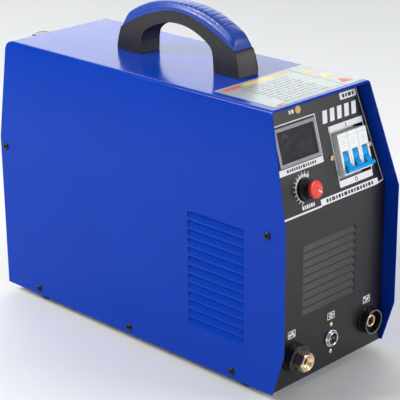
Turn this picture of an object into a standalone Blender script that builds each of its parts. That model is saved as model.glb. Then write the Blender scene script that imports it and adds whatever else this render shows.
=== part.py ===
"""Inverter plasma cutter unit: folded sheet case, carry handle, controls, sockets, fan and air set.

Metres, +Z up, front facing -Y. The origin is on the floor, under the middle of the whole unit.
Positions below are in the case frame: y runs back from the front edges of the side walls and
z runs up from the bottom of the case. The root empty carries that frame into the world.
"""

import math

import bmesh
import bpy
from mathutils import Matrix, Vector

MM = 0.001

# Case
CASE_WIDTH = 0.210
TOP_WIDTH = 0.175
CASE_LENGTH = 0.508
CASE_HEIGHT = 0.342
CREASE_HEIGHT = 0.213
LOWER_BEND_HEIGHT = 0.056
FRONT_LEAN = 0.037
CHIN_SETBACK = 0.0175
SHEET = 0.0012
CHASSIS_SHEET = 0.0015
GAP = 0.0004
FRONT_LIP = 0.0026
REAR_LIP = 0.020
FOOT_HEIGHT = 0.012
FRONT_REACH = 0.005

# Front panel
PANEL_RECESS = 0.020
PANEL_FLANGE = 0.014

# Louvres
SIDE_LOUVRES = 13
SIDE_LOUVRE_PITCH = 0.0116
SIDE_LOUVRE_BASE = 0.0505
SIDE_LOUVRE_FRONT = 0.0625
SIDE_LOUVRE_REAR = 0.1550
FRONT_LOUVRES = 9
FRONT_LOUVRE_PITCH = 0.0101
FRONT_LOUVRE_BASE = 0.0835
FRONT_LOUVRE_HALF = 0.049
LOUVRE_DEPTH = 0.0036

# Handle
HANDLE_CENTRE = 0.2590
HANDLE_HALF = 0.0175
HANDLE_TAPER = 0.16

# Controls on the leaning part of the panel: x, distance up the slope
METER = (-0.0385, 0.0820)
KNOB = (-0.0385, 0.0265)
BREAKER = (0.0520, 0.0510)
BREAKER_PITCH = 0.018
BREAKER_RISE = 0.0070
TOGGLE_PIVOT = (-0.0055, -0.0032)
TOGGLE_REACH = 0.0200

# Sockets on the upright part of the panel
TORCH_AT = (-0.0660, 0.0365)
CONTROL_AT = (0.0040, 0.0367)
WORK_AT = (0.0762, 0.0362)
CONTROL_SCREW_RISE = 0.018

# Case screws: y, z on both sides
SCREWS = [(0.0265, 0.201), (0.497, 0.201), (0.083, 0.0095), (0.263, 0.0095), (0.442, 0.0095)]
FEET = [(-0.080, 0.074), (0.080, 0.074), (-0.080, 0.448), (0.080, 0.448)]

# Fan, cable gland, earth stud
FAN_HEIGHT = 0.092
FAN_SIZE = 0.119
FAN_DEPTH = 0.025
FAN_RADIUS = 0.055
GLAND = (0.066, 0.205)
EARTH = (-0.075, 0.026)

# Filter regulator behind the case
REGULATOR_Y = 0.536
GAUGE_HEIGHT = 0.272
GAUGE_REACH = 0.0358

LEAN = math.atan2(FRONT_LEAN, CASE_HEIGHT - CREASE_HEIGHT)
HALF = CASE_WIDTH / 2
TOP_HALF = TOP_WIDTH / 2
ROOT_AT = Vector((0, -(REGULATOR_Y + GAUGE_REACH - FRONT_REACH) / 2, FOOT_HEIGHT))


def clear():
    for obj in list(bpy.data.objects):
        bpy.data.objects.remove(obj, do_unlink=True)


def make_collection(name):
    group = bpy.data.collections.new(name)
    bpy.context.scene.collection.children.link(group)
    return group


clear()
PARTS = make_collection("plasma_cutter_unit")
CUTTERS = make_collection("cutters")
ROOT = bpy.data.objects.new("case_frame", None)
ROOT.location = ROOT_AT
PARTS.objects.link(ROOT)

MATERIALS = {}


def material(name, rgb, rough, metal=0.0, alpha=1.0):
    mat = bpy.data.materials.new(name)
    mat.use_nodes = True
    shader = mat.node_tree.nodes["Principled BSDF"]
    shader.inputs["Base Color"].default_value = (*rgb, 1.0)
    shader.inputs["Roughness"].default_value = rough
    shader.inputs["Metallic"].default_value = metal
    shader.inputs["Alpha"].default_value = alpha
    MATERIALS[name] = mat


material("blue_paint", (0.010, 0.055, 0.42), 0.28)
material("black_paint", (0.045, 0.045, 0.052), 0.5)
material("galvanised", (0.62, 0.63, 0.64), 0.4, 1.0)
material("black_plastic", (0.022, 0.021, 0.025), 0.5)
material("blue_plastic", (0.012, 0.055, 0.36), 0.35)
material("rubber", (0.012, 0.012, 0.012), 0.8)
material("black_screw", (0.015, 0.015, 0.016), 0.35, 0.6)
material("grey_plastic", (0.20, 0.20, 0.21), 0.45)
material("smoked_window", (0.035, 0.035, 0.040), 0.15)
material("white_plastic", (0.80, 0.80, 0.78), 0.4)
material("cyan_plastic", (0.0, 0.30, 0.62), 0.35)
material("red_plastic", (0.72, 0.045, 0.035), 0.35)
material("brass", (0.78, 0.55, 0.27), 0.3, 1.0)
material("chrome", (0.82, 0.82, 0.84), 0.15, 1.0)
material("wire_steel", (0.55, 0.56, 0.58), 0.3, 1.0)
material("clear_bowl", (0.75, 0.80, 0.84), 0.1, 0.0, 0.4)
material("cast_grey", (0.50, 0.51, 0.53), 0.45, 0.3)
material("aluminium", (0.70, 0.71, 0.72), 0.4, 1.0)
material("ferrite", (0.06, 0.06, 0.065), 0.6)
material("copper_winding", (0.55, 0.22, 0.08), 0.35, 0.6)
material("board_green", (0.02, 0.16, 0.06), 0.5)
material("hose_black", (0.02, 0.02, 0.025), 0.45)


def frame(origin, out):
    """Local z points out of a face, local y points up it."""
    z = Vector(out).normalized()
    up = Vector((0, 0, 1)) if abs(z.z) < 0.9 else Vector((0, 1, 0))
    y = (up - z * up.dot(z)).normalized()
    x = y.cross(z)
    turn = Matrix((x, y, z)).transposed().to_4x4()
    return Matrix.Translation(Vector(origin)) @ turn


CASE = Matrix.Identity(4)
SLOPE = frame((0, PANEL_RECESS, CREASE_HEIGHT), (0, -math.cos(LEAN), math.sin(LEAN)))
UPRIGHT = frame((0, PANEL_RECESS, 0), (0, -1, 0))
REAR = frame((0, CASE_LENGTH - SHEET - GAP, 0), (0, 1, 0))


def spot(base, x=0.0, y=0.0, z=0.0):
    return base @ Matrix.Translation(Vector((x, y, z)))


def adopt(obj, mat, where):
    """Puts an object in its collection, in the root's frame. No material means a cutter."""
    obj.parent = ROOT
    obj.matrix_local = where
    if mat is None:
        CUTTERS.objects.link(obj)
        obj.hide_render = True
        obj.display_type = "WIRE"
    else:
        PARTS.objects.link(obj)
        obj.data.materials.clear()
        obj.data.materials.append(MATERIALS[mat])
    return obj


def smooth(mesh, degrees=35):
    mesh.shade_smooth()
    mesh.set_sharp_from_angle(angle=math.radians(degrees))


def from_bmesh(name, bm, mat=None, where=CASE, rounded_look=False):
    mesh = bpy.data.meshes.new(name)
    bm.to_mesh(mesh)
    bm.free()
    if rounded_look:
        smooth(mesh)
    return adopt(bpy.data.objects.new(name, mesh), mat, where)


def add_block(bm, low, high):
    low, high = Vector(low), Vector(high)
    size = high - low
    made = bmesh.ops.create_cube(bm, size=1.0)
    scale = Matrix.Diagonal((size.x, size.y, size.z, 1.0))
    bmesh.ops.transform(bm, matrix=Matrix.Translation((low + high) / 2) @ scale, verts=made["verts"])
    return made["verts"]


def block(name, low, high, mat=None, where=CASE):
    bm = bmesh.new()
    add_block(bm, low, high)
    return from_bmesh(name, bm, mat, where)


def add_rod(bm, start, end, r1, r2=None, sides=20):
    start, end = Vector(start), Vector(end)
    made = bmesh.ops.create_cone(bm, cap_ends=True, segments=sides, radius1=r1,
                                 radius2=r1 if r2 is None else r2, depth=(end - start).length)
    turn = Vector((0, 0, 1)).rotation_difference(end - start).to_matrix().to_4x4()
    bmesh.ops.transform(bm, matrix=Matrix.Translation((start + end) / 2) @ turn, verts=made["verts"])
    return made["verts"]


def rod(name, start, end, r1, r2=None, sides=20, mat=None, where=CASE):
    bm = bmesh.new()
    add_rod(bm, start, end, r1, r2, sides)
    return from_bmesh(name, bm, mat, where, rounded_look=True)


def corner_arc(before, at, after, radius, steps=4):
    a = (Vector(before) - Vector(at)).normalized()
    b = (Vector(after) - Vector(at)).normalized()
    half = a.angle(b) / 2
    reach = radius / math.tan(half)
    start, end = Vector(at) + a * reach, Vector(at) + b * reach
    centre = Vector(at) + (a + b).normalized() * (radius / math.sin(half))
    swing = (start - centre).angle_signed(end - centre)
    points = []
    for i in range(steps + 1):
        turn = Matrix.Rotation(-swing * i / steps, 2)
        points.append(centre + turn @ (start - centre))
    return points


def rounded(corners, radii, steps=4):
    """A closed outline with the given radius at each corner, 0 for a sharp one."""
    points = []
    for i, (at, radius) in enumerate(zip(corners, radii)):
        if radius <= 0:
            points.append(Vector(at))
            continue
        points += corner_arc(corners[i - 1], at, corners[(i + 1) % len(corners)], radius, steps)
    return points


AXES = {
    "X": Matrix(((0, 0, 1, 0), (1, 0, 0, 0), (0, 1, 0, 0), (0, 0, 0, 1))),
    "Y": Matrix(((1, 0, 0, 0), (0, 0, -1, 0), (0, 1, 0, 0), (0, 0, 0, 1))),
    "Z": Matrix.Identity(4),
}


def outline(name, loops, axis, low, high, mat=None, where=CASE):
    """A flat outline, with holes, drawn in the plane across an axis and extruded along it.

    The plane's coordinates are (y, z) across X, (x, z) across Y and (x, y) across Z.
    """
    curve = bpy.data.curves.new(name, "CURVE")
    curve.dimensions = "2D"
    curve.fill_mode = "BOTH"
    curve.extrude = (high - low) / 2
    for points in loops:
        spline = curve.splines.new("POLY")
        spline.points.add(len(points) - 1)
        for point, co in zip(spline.points, points):
            point.co = (co[0], co[1], 0, 1)
        spline.use_cyclic_u = True
    drawn = bpy.data.objects.new(name, curve)
    CUTTERS.objects.link(drawn)
    graph = bpy.context.evaluated_depsgraph_get()
    mesh = bpy.data.meshes.new_from_object(drawn.evaluated_get(graph))
    bpy.data.objects.remove(drawn, do_unlink=True)
    middle = (low + high) / 2
    lift = -middle if axis == "Y" else middle
    bm = bmesh.new()
    bm.from_mesh(mesh)
    bmesh.ops.transform(bm, matrix=AXES[axis] @ Matrix.Translation((0, 0, lift)), verts=bm.verts)
    bmesh.ops.remove_doubles(bm, verts=bm.verts, dist=1e-6)
    bmesh.ops.recalc_face_normals(bm, faces=bm.faces)
    bpy.data.meshes.remove(mesh)
    return from_bmesh(name, bm, mat, where)


def turned(name, profile, mat=None, where=CASE, steps=20):
    """A profile of (radius, height) points run round local z. It starts and ends on the axis."""
    mesh = bpy.data.meshes.new(name)
    points = [(r, 0, z) for r, z in profile]
    mesh.from_pydata(points, [(i, i + 1) for i in range(len(points) - 1)], [])
    obj = adopt(bpy.data.objects.new(name, mesh), mat, where)
    screw = obj.modifiers.new("turn", "SCREW")
    screw.axis = "Z"
    screw.angle = 2 * math.pi
    screw.steps = steps
    screw.render_steps = steps
    screw.use_merge_vertices = True
    screw.merge_threshold = 1e-6
    screw.use_smooth_shade = True
    return obj


def circle(centre, radius, sides=20):
    points = []
    for i in range(sides):
        angle = 2 * math.pi * i / sides
        points.append((centre[0] + radius * math.cos(angle), centre[1] + radius * math.sin(angle)))
    return points


def combine(obj, other, operation):
    step = obj.modifiers.new(other.name, "BOOLEAN")
    step.operation = operation
    step.solver = "EXACT"
    step.object = other
    return obj


def cut(obj, *others):
    for other in others:
        combine(obj, other, "DIFFERENCE")
    return obj


def join(obj, *others):
    for other in others:
        combine(obj, other, "UNION")
    return obj


def keep_inside(obj, other):
    return combine(obj, other, "INTERSECT")


def soften(obj, width, segments=2, degrees=40):
    bevel = obj.modifiers.new("edges", "BEVEL")
    bevel.width = width
    bevel.segments = segments
    bevel.limit_method = "ANGLE"
    bevel.angle_limit = math.radians(degrees)
    return obj


def case_section(inset, floor, top_inset=None):
    """The case across its width: upright walls, a crease, and upper walls that lean in."""
    w, t = HALF - inset, TOP_HALF - inset
    h = CASE_HEIGHT - (inset if top_inset is None else top_inset)
    corners = [(-w, floor), (w, floor), (w, CREASE_HEIGHT), (t, h), (-t, h), (-w, CREASE_HEIGHT)]
    radius = max(0.0045 - inset, 0.0015)
    return rounded(corners, [0, 0, 0, radius, radius, 0])


def lean_y(z, back=0.0):
    """Depth of the leaning front at a height, set back square to the slope."""
    return (z - CREASE_HEIGHT) * math.tan(LEAN) + back / math.cos(LEAN)


def add_ramp(bm, place, span, rise, outer, foot_depth, top_depth, end):
    """A ramp that is shallow at its foot and deep at its top edge, with sloping flat ends.

    place maps (along, up, in) to a point, outer is where the ramp's outer face lies, and the
    ends run in by the length end at the full depth.
    """
    for vert in add_block(bm, (0, 0, 0), (1, 1, 1)):
        along, up, deep = round(vert.co.x), round(vert.co.y), round(vert.co.z)
        depth = (top_depth if up else foot_depth) if deep else outer
        inset = end * depth / top_depth
        across = span[1] - inset if along else span[0] + inset
        vert.co = place(across, rise[up], depth)


def louvres(name, places, count, pitch, base, span, sheet):
    """Returns the slats to add behind the sheet, and the ramps to cut from it.

    A ramp is taller than its slat, so a slit stays open above the slat's free edge.
    """
    slats, ramps = bmesh.new(), bmesh.new()
    low, high = span
    rise, slit = 0.0064, 0.0018
    behind = LOUVRE_DEPTH * rise / (rise + slit) + sheet
    for place in places:
        for i in range(count):
            foot = base + i * pitch
            add_ramp(slats, place, (low - 0.0012, high + 0.0012), (foot - 0.001, foot + rise),
                     sheet * 0.3, sheet * 0.7, behind, 0.0040)
            add_ramp(ramps, place, span, (foot, foot + rise + slit), -0.002, 0.0002,
                     LOUVRE_DEPTH, 0.0040)
    for bm in (slats, ramps):
        bmesh.ops.recalc_face_normals(bm, faces=bm.faces)
    return from_bmesh(f"{name}_slats", slats), from_bmesh(f"{name}_ramps", ramps)


# ---------------------------------------------------------------- shared cutters

screw_holes = bmesh.new()
for hole_y, hole_z in SCREWS:
    add_rod(screw_holes, (-0.12, hole_y, hole_z), (0.12, hole_y, hole_z), 0.0025, sides=12)
SCREW_HOLES = from_bmesh("screw_holes", screw_holes)


# ---------------------------------------------------------------- cover

def cover():
    floor = 0.0
    side = rounded(
        [(CHIN_SETBACK, floor), (CASE_LENGTH, floor), (CASE_LENGTH, CASE_HEIGHT),
         (FRONT_LEAN, CASE_HEIGHT), (0, CREASE_HEIGHT), (0, LOWER_BEND_HEIGHT)],
        [0, 0, 0.012, 0.0016, 0, 0])
    obj = outline("cover", [case_section(0, floor)], "Y", -0.01, CASE_LENGTH + 0.01, "blue_paint")
    keep_inside(obj, outline("cover_side_shape", [side], "X", -0.12, 0.12))

    lip = CASE_HEIGHT - FRONT_LIP
    top = CASE_HEIGHT - SHEET
    back = CASE_LENGTH - SHEET
    rear_lip = CASE_HEIGHT - REAR_LIP
    inner_side = rounded(
        [(-0.05, -0.03), (CASE_LENGTH + 0.05, -0.03), (CASE_LENGTH + 0.05, rear_lip),
         (back, rear_lip), (back, top), (lean_y(top, SHEET), top), (lean_y(lip, SHEET), lip),
         (-0.05, lip)],
        [0, 0, 0, 0, 0.0108, 0.0008, 0, 0])
    hollow = outline("cover_hollow", [case_section(SHEET, -0.02)], "Y", -0.06, CASE_LENGTH + 0.06)
    keep_inside(hollow, outline("cover_hollow_side", [inner_side], "X", -0.13, 0.13))
    cut(obj, hollow)

    def left(along, up, deep):
        return Vector((-HALF + deep, along, up))

    def right(along, up, deep):
        return Vector((HALF - deep, along, up))

    slats, ramps = louvres("side_louvre", [left, right], SIDE_LOUVRES, SIDE_LOUVRE_PITCH,
                           SIDE_LOUVRE_BASE, (SIDE_LOUVRE_FRONT, SIDE_LOUVRE_REAR), SHEET)
    join(obj, slats)
    cut(obj, ramps, SCREW_HOLES)


cover()


# ---------------------------------------------------------------- chassis

INNER = SHEET + GAP


def base_tray():
    w = HALF - INNER
    t = CHASSIS_SHEET
    low = 0.0003 + t + GAP
    section = [(-w, low), (w, low), (w, 0.020), (w - t, 0.020), (w - t, low + t),
               (-w + t, low + t), (-w + t, 0.020), (-w, 0.020)]
    obj = outline("base_tray", [section], "Y", 0.036, CASE_LENGTH - 0.018, "galvanised")
    join(obj, block("tray_tongues", (-w + 0.003, PANEL_RECESS + 0.002, low),
                    (w - 0.003, CASE_LENGTH - 0.004, low + t - 0.0002)))
    cut(obj, SCREW_HOLES)


def pan(name, side, inner_side, mat):
    """A panel with flanges turned in along its edges."""
    obj = outline(name, [case_section(INNER, 0.0003, SHEET + GAP)], "Y", -0.01,
                  CASE_LENGTH + 0.01, mat)
    keep_inside(obj, outline(name + "_side", [side], "X", -0.12, 0.12))
    hollow = outline(name + "_hollow",
                     [case_section(INNER + CHASSIS_SHEET, 0.0003 + CHASSIS_SHEET)],
                     "Y", -0.02, CASE_LENGTH + 0.02)
    keep_inside(hollow, outline(name + "_hollow_side", [inner_side], "X", -0.13, 0.13))
    return cut(obj, hollow)


def front_panel():
    face = PANEL_RECESS
    deep = face + PANEL_FLANGE
    t = CHASSIS_SHEET
    high = CASE_HEIGHT + 0.01
    side = [(face, -0.01), (deep, -0.01), (deep, CREASE_HEIGHT),
            (lean_y(high) + deep, high), (lean_y(high) + face, high), (face, CREASE_HEIGHT)]
    inner = [(face + t, -0.02), (deep + 0.03, -0.02), (deep + 0.03, CREASE_HEIGHT),
             (lean_y(high) + deep + 0.03, high), (lean_y(high) + face + t, high),
             (face + t, CREASE_HEIGHT)]
    obj = pan("front_panel", side, inner, "black_paint")

    def upright(along, up, inward):
        return Vector((along, PANEL_RECESS + inward, up))

    slats, ramps = louvres(
        "front_louvre", [upright], FRONT_LOUVRES, FRONT_LOUVRE_PITCH, FRONT_LOUVRE_BASE,
        (-FRONT_LOUVRE_HALF, FRONT_LOUVRE_HALF), CHASSIS_SHEET)
    join(obj, slats)
    cut(obj, ramps)

    slope = bmesh.new()
    mx, ms = METER
    add_block(slope, (mx - 0.034, ms - 0.0205, -0.01), (mx + 0.034, ms + 0.0205, 0.01))
    bx, bs = BREAKER
    add_block(slope, (bx - 0.030, bs - 0.029, -0.01), (bx + 0.030, bs + 0.029, 0.01))
    add_rod(slope, (KNOB[0], KNOB[1], -0.01), (KNOB[0], KNOB[1], 0.01), 0.0045)
    for sx in (-0.0362, 0.0362):
        add_rod(slope, (bx + sx, bs, -0.01), (bx + sx, bs, 0.01), 0.0024, sides=12)
    flat = bmesh.new()
    for (x, z), r in ((TORCH_AT, 0.0145), (CONTROL_AT, 0.0092), (WORK_AT, 0.0122)):
        add_rod(flat, (x, z, -0.01), (x, z, 0.01), r, sides=20)
    cx, cz = CONTROL_AT
    for rise in (-CONTROL_SCREW_RISE, CONTROL_SCREW_RISE):
        add_rod(flat, (cx, cz + rise, -0.01), (cx, cz + rise, 0.01), 0.0018, sides=12)
    cut(obj, from_bmesh("control_openings", slope, where=SLOPE),
        from_bmesh("socket_openings", flat, where=UPRIGHT), SCREW_HOLES)


def rear_panel():
    face = CASE_LENGTH - SHEET - GAP
    t = CHASSIS_SHEET
    deep = face - PANEL_FLANGE
    top = CASE_HEIGHT - SHEET - GAP
    side = rounded([(deep, -0.01), (face, -0.01), (face, top), (deep, top)], [0, 0, 0.0104, 0])
    inner = rounded([(deep - 0.03, -0.02), (face - t, -0.02), (face - t, top - t),
                     (deep - 0.03, top - t)], [0, 0, 0.0089, 0])
    obj = pan("rear_panel", side, inner, "black_paint")
    holes = bmesh.new()
    add_rod(holes, (0, FAN_HEIGHT, -0.01), (0, FAN_HEIGHT, 0.01), FAN_RADIUS + 0.001, sides=28)
    add_rod(holes, (-GLAND[0], GLAND[1], -0.01), (-GLAND[0], GLAND[1], 0.01), 0.0100)
    add_rod(holes, (-EARTH[0], EARTH[1], -0.01), (-EARTH[0], EARTH[1], 0.01), 0.0034, sides=12)
    add_rod(holes, (-0.042, GAUGE_HEIGHT, -0.01), (-0.042, GAUGE_HEIGHT, 0.01), 0.0065, sides=20)
    cut(obj, from_bmesh("rear_openings", holes, where=REAR), SCREW_HOLES)


base_tray()
front_panel()
rear_panel()


# ---------------------------------------------------------------- fixings and feet

def case_screws():
    profile = [(0, 0.0029), (0.0033, 0.0023), (0.0050, 0.0007), (0.0050, 0.0003),
               (0.0021, 0.0003), (0.0021, -0.0055), (0, -0.0055)]
    for side, tag in ((-1, "l"), (1, "r")):
        for i, (y, z) in enumerate(SCREWS):
            head = frame((side * HALF, y, z), (side, 0, 0))
            turned(f"case_screw_{tag}{i + 1}", profile, "black_screw", head, steps=10)


def feet():
    top = 0.0019
    h = FOOT_HEIGHT
    profile = [(0, top), (0.0142, top), (0.0128, -h + 0.0012), (0.0116, -h),
               (0.0048, -h), (0.0048, -h + 0.005), (0, -h + 0.005)]
    for (x, y), tag in zip(FEET, ("fl", "fr", "rl", "rr")):
        turned(f"foot_{tag}", profile, "rubber", spot(CASE, x, y, 0), steps=18)


case_screws()
feet()


# ---------------------------------------------------------------- handle

def ellipse_arch(top, drop, reach, power, to, count=11):
    """Half of a flattened arch as (distance, height): it falls by drop at the distance reach."""
    points = []
    for i in range(count + 1):
        u = to * i / count
        points.append((u, top - drop * (u / reach) ** power))
    return points


def narrowed(obj):
    """The handle is narrower at the top than at its feet."""
    for vert in obj.data.vertices:
        rise = min(max((vert.co.z - CASE_HEIGHT) / 0.060, 0.0), 1.0)
        vert.co.x *= 1 - HANDLE_TAPER * rise


def handle():
    foot = CASE_HEIGHT + 0.0003
    split = ellipse_arch(0.4060, 0.0340, 0.099, 1.75, 0.099)
    crest = ellipse_arch(0.4185, 0.0300, 0.097, 2.3, 0.097)
    under = ellipse_arch(0.3940, 0.0165, 0.0545, 2.1, 0.0545, 8)
    under += [(0.0600, 0.3725), (0.0635, 0.3650), (0.0650, 0.3550), (0.0652, foot)]
    outer = split + [(0.1035, 0.3580), (0.1065, foot)]

    def mirrored(half):
        return [(HANDLE_CENTRE + u, z) for u, z in reversed(half)] + \
               [(HANDLE_CENTRE - u, z) for u, z in half[1:]]

    body = outline("handle_body", [mirrored(outer) + mirrored(under)[::-1]], "X",
                   -HANDLE_HALF, HANDLE_HALF, "black_plastic")
    narrowed(body)
    soften(body, 0.0012, 2, 50)

    lifted = [(u, z + 0.0003) for u, z in split]
    cap = outline("handle_cap", [mirrored(lifted) + mirrored(crest)[::-1]], "X",
                  -HANDLE_HALF, HANDLE_HALF, "blue_plastic")
    narrowed(cap)
    for vert in cap.data.vertices:
        u = abs(vert.co.y - HANDLE_CENTRE)
        seam = 0.4063 - 0.0340 * (min(u, 0.099) / 0.099) ** 1.75
        if vert.co.z > seam + 0.0008:
            vert.co.x *= 0.80
    soften(cap, 0.0030, 2, 30)


handle()


# ---------------------------------------------------------------- meter and current knob

def meter():
    x, s = METER
    where = spot(SLOPE, x, s)
    obj = outline("meter_bezel", [rounded([(-0.0365, -0.0230), (0.0365, -0.0230), (0.0365, 0.0230),
                                           (-0.0365, 0.0230)], [0.002] * 4, 2)],
                  "Z", 0.0003, 0.0032, "grey_plastic", where)
    join(obj, block("meter_case", (-0.0330, -0.0195, -0.024), (0.0330, 0.0195, 0.001), where=where))
    cut(obj, block("meter_pocket", (-0.0322, -0.0186, -0.0015), (0.0322, 0.0186, 0.005), where=where))
    block("meter_window", (-0.0318, -0.0182, -0.0012), (0.0318, 0.0182, 0.0012), "smoked_window",
          where)


def current_control():
    x, s = KNOB
    where = spot(SLOPE, x, s)
    pot = turned("potentiometer",
                 [(0, -0.0150), (0.0118, -0.0150), (0.0120, -0.0148), (0.0120, -0.0028),
                  (0.0060, -0.0024), (0.0042, -0.0024), (0.0042, 0.0004), (0, 0.0004)][::-1],
                 "galvanised", where, steps=20)
    cut(pot, rod("pot_bore", (0, 0, -0.009), (0, 0, 0.004), 0.00308, sides=20, where=where))
    turned("current_knob",
           [(0, 0.0138), (0.0108, 0.0138), (0.0112, 0.0134), (0.0117, 0.0045), (0.0128, 0.0036),
            (0.0129, 0.0012), (0.0126, 0.0008), (0.0030, 0.0008), (0.0030, -0.0085), (0, -0.0085)],
           "black_plastic", where, steps=20)
    turned("current_knob_cap",
           [(0, 0.0184), (0.0090, 0.0184), (0.0104, 0.0180), (0.0110, 0.0171), (0.0111, 0.0145),
            (0.0109, 0.0141), (0, 0.0141)], "red_plastic", where, steps=20)


# ---------------------------------------------------------------- breaker

def breaker():
    x, s = BREAKER
    where = spot(SLOPE, x, s)
    low, p = TOGGLE_PIVOT
    body = block("breaker_body", (-0.0268, -0.0250, -0.030), (0.0268, 0.0250, BREAKER_RISE),
                 "white_plastic", where)
    soften(body, 0.0008, 2)
    join(body, block("breaker_base", (-0.0265, -0.0400, -0.0540), (0.0265, 0.0400, -0.0120),
                     where=where),
         block("breaker_ears", (-0.0405, -0.0050, -0.0080), (0.0405, 0.0050, -0.0028), where=where))
    slots = bmesh.new()
    for i in (-1, 0, 1):
        c = i * BREAKER_PITCH
        add_block(slots, (c - 0.0056, -0.0235, p - 0.004), (c + 0.0056, 0.0035, 0.012))
    hollows = bmesh.new()
    for i in (-1, 0, 1):
        c = i * BREAKER_PITCH
        add_rod(hollows, (c - 0.0053, low, p), (c + 0.0053, low, p), 0.0104, sides=16)
    holes = bmesh.new()
    for side in (-0.0362, 0.0362):
        add_rod(holes, (side, 0, -0.012), (side, 0, 0.004), 0.0023, sides=12)
    shaft_bore = rod("toggle_shaft_bore", (-0.0232, low, p), (0.0232, low, p), 0.00250, sides=20,
                     where=where)
    cut(body, shaft_bore, from_bmesh("toggle_slots", slots, where=where),
        from_bmesh("toggle_hollows", hollows, where=where),
        from_bmesh("ear_holes", holes, where=where))

    pivot = spot(where, 0, low, p)
    reach = TOGGLE_REACH
    down = Matrix.Rotation(math.radians(45), 4, "X")
    toggle = rod("breaker_toggle", (-0.0226, 0, 0), (0.0226, 0, 0), 0.0024, sides=20,
                 mat="cyan_plastic", where=pivot)
    levers = bmesh.new()
    for i in (-1, 0, 1):
        c = i * BREAKER_PITCH
        add_rod(levers, (c - 0.0047, 0, 0), (c + 0.0047, 0, 0), 0.0094, sides=16)
    arms = bmesh.new()
    for i in (-1, 0, 1):
        c = i * BREAKER_PITCH
        add_block(arms, (c - 0.0043, -0.0042, 0.001), (c + 0.0043, 0.0040, reach - 0.001))
    bmesh.ops.transform(arms, matrix=down, verts=arms.verts)
    bar = bmesh.new()
    add_block(bar, (-0.0255, -0.0024, reach - 0.0024), (0.0255, 0.0024, reach + 0.0022))
    bmesh.ops.transform(bar, matrix=down, verts=bar.verts)
    join(toggle, from_bmesh("toggle_hubs", levers, where=pivot),
         from_bmesh("toggle_arms", arms, where=pivot),
         soften(from_bmesh("toggle_bar", bar, where=pivot), 0.0008, 1))

    profile = [(0, 0.0026), (0.0018, 0.0025), (0.0031, 0.0018), (0.0035, 0.0008), (0.0035, 0.0003),
               (0.0019, 0.0003), (0.0019, -0.0095), (0, -0.0095)]
    for tag, side in (("l", -0.0362), ("r", 0.0362)):
        screw = turned(f"breaker_screw_{tag}", profile, "brass", spot(where, side, 0), steps=12)
        cut(screw, block(f"breaker_screw_{tag}_slot", (-0.005, -0.0004, 0.0016),
                         (0.005, 0.0004, 0.004), where=spot(where, side, 0)))


meter()
current_control()
breaker()


# ---------------------------------------------------------------- sockets

def torch_outlet():
    where = spot(UPRIGHT, *TORCH_AT)
    boss = turned("torch_insulator",
                  [(0, 0.0130), (0.0150, 0.0130), (0.0172, 0.0122), (0.0180, 0.0104),
                   (0.0185, 0.0010), (0.0185, 0.0003), (0.0140, 0.0003), (0.0140, -0.0120),
                   (0, -0.0120)], "black_plastic", where, steps=20)
    cut(boss, rod("torch_bore", (0, 0, -0.02), (0, 0, 0.02), 0.0068, where=where))
    fitting = rod("torch_fitting", (0, 0, 0.0133), (0, 0, 0.0250), 0.0127, sides=6, mat="brass",
                  where=where)
    keep_inside(fitting, turned("torch_fitting_turning",
                                [(0, 0.0260), (0.0103, 0.0260), (0.0135, 0.0232), (0.0135, 0.0100),
                                 (0, 0.0100)], where=where))
    join(fitting, turned("torch_tail",
                         [(0, 0.0140), (0.0065, 0.0140), (0.0065, -0.0160), (0.0060, -0.0165),
                          (0.0046, -0.0165), (0.0046, -0.0240), (0, -0.0240)], where=where))
    cut(fitting, turned("torch_fitting_mouth",
                        [(0, 0.0300), (0.0082, 0.0300), (0.0082, 0.0246), (0.0036, 0.0195),
                         (0.0036, -0.0300), (0, -0.0300)], where=where, steps=20))


def control_socket():
    where = spot(UPRIGHT, *CONTROL_AT)
    turned("control_socket_shell",
           [(0.0070, 0.0052), (0.0080, 0.0057), (0.0091, 0.0052), (0.0093, 0.0034),
            (0.0108, 0.0030), (0.0112, 0.0024), (0.0112, 0.0003), (0.0089, 0.0003),
            (0.0089, -0.0090), (0.0070, -0.0090), (0.0070, 0.0052)], "chrome", where, steps=20)
    insert = rod("control_socket_insert", (0, 0, -0.0120), (0, 0, 0.0012), 0.0067, sides=20,
                 mat="black_plastic", where=where)
    pins = bmesh.new()
    for side in (-0.0024, 0.0024):
        add_rod(pins, (side, 0, -0.02), (side, 0, 0.01), 0.0013, sides=12)
    cut(insert, from_bmesh("pin_holes", pins, where=where))
    for tag, side in (("l", -0.0024), ("r", 0.0024)):
        rod(f"control_pin_{tag}", (side, 0, -0.0145), (side, 0, 0.0042), 0.0009, sides=12,
            mat="brass", where=where)
    profile = [(0, 0.0022), (0.0016, 0.0021), (0.0026, 0.0015), (0.0030, 0.0006), (0.0030, 0.0003),
               (0.0014, 0.0003), (0.0014, -0.0060), (0, -0.0060)]
    for tag, rise in (("top", CONTROL_SCREW_RISE), ("bottom", -CONTROL_SCREW_RISE)):
        at = spot(where, 0, rise)
        screw = turned(f"control_screw_{tag}", profile, "brass", at, steps=12)
        cut(screw, block(f"control_screw_{tag}_slot", (-0.004, -0.00035, 0.0013),
                         (0.004, 0.00035, 0.004), where=at))


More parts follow.
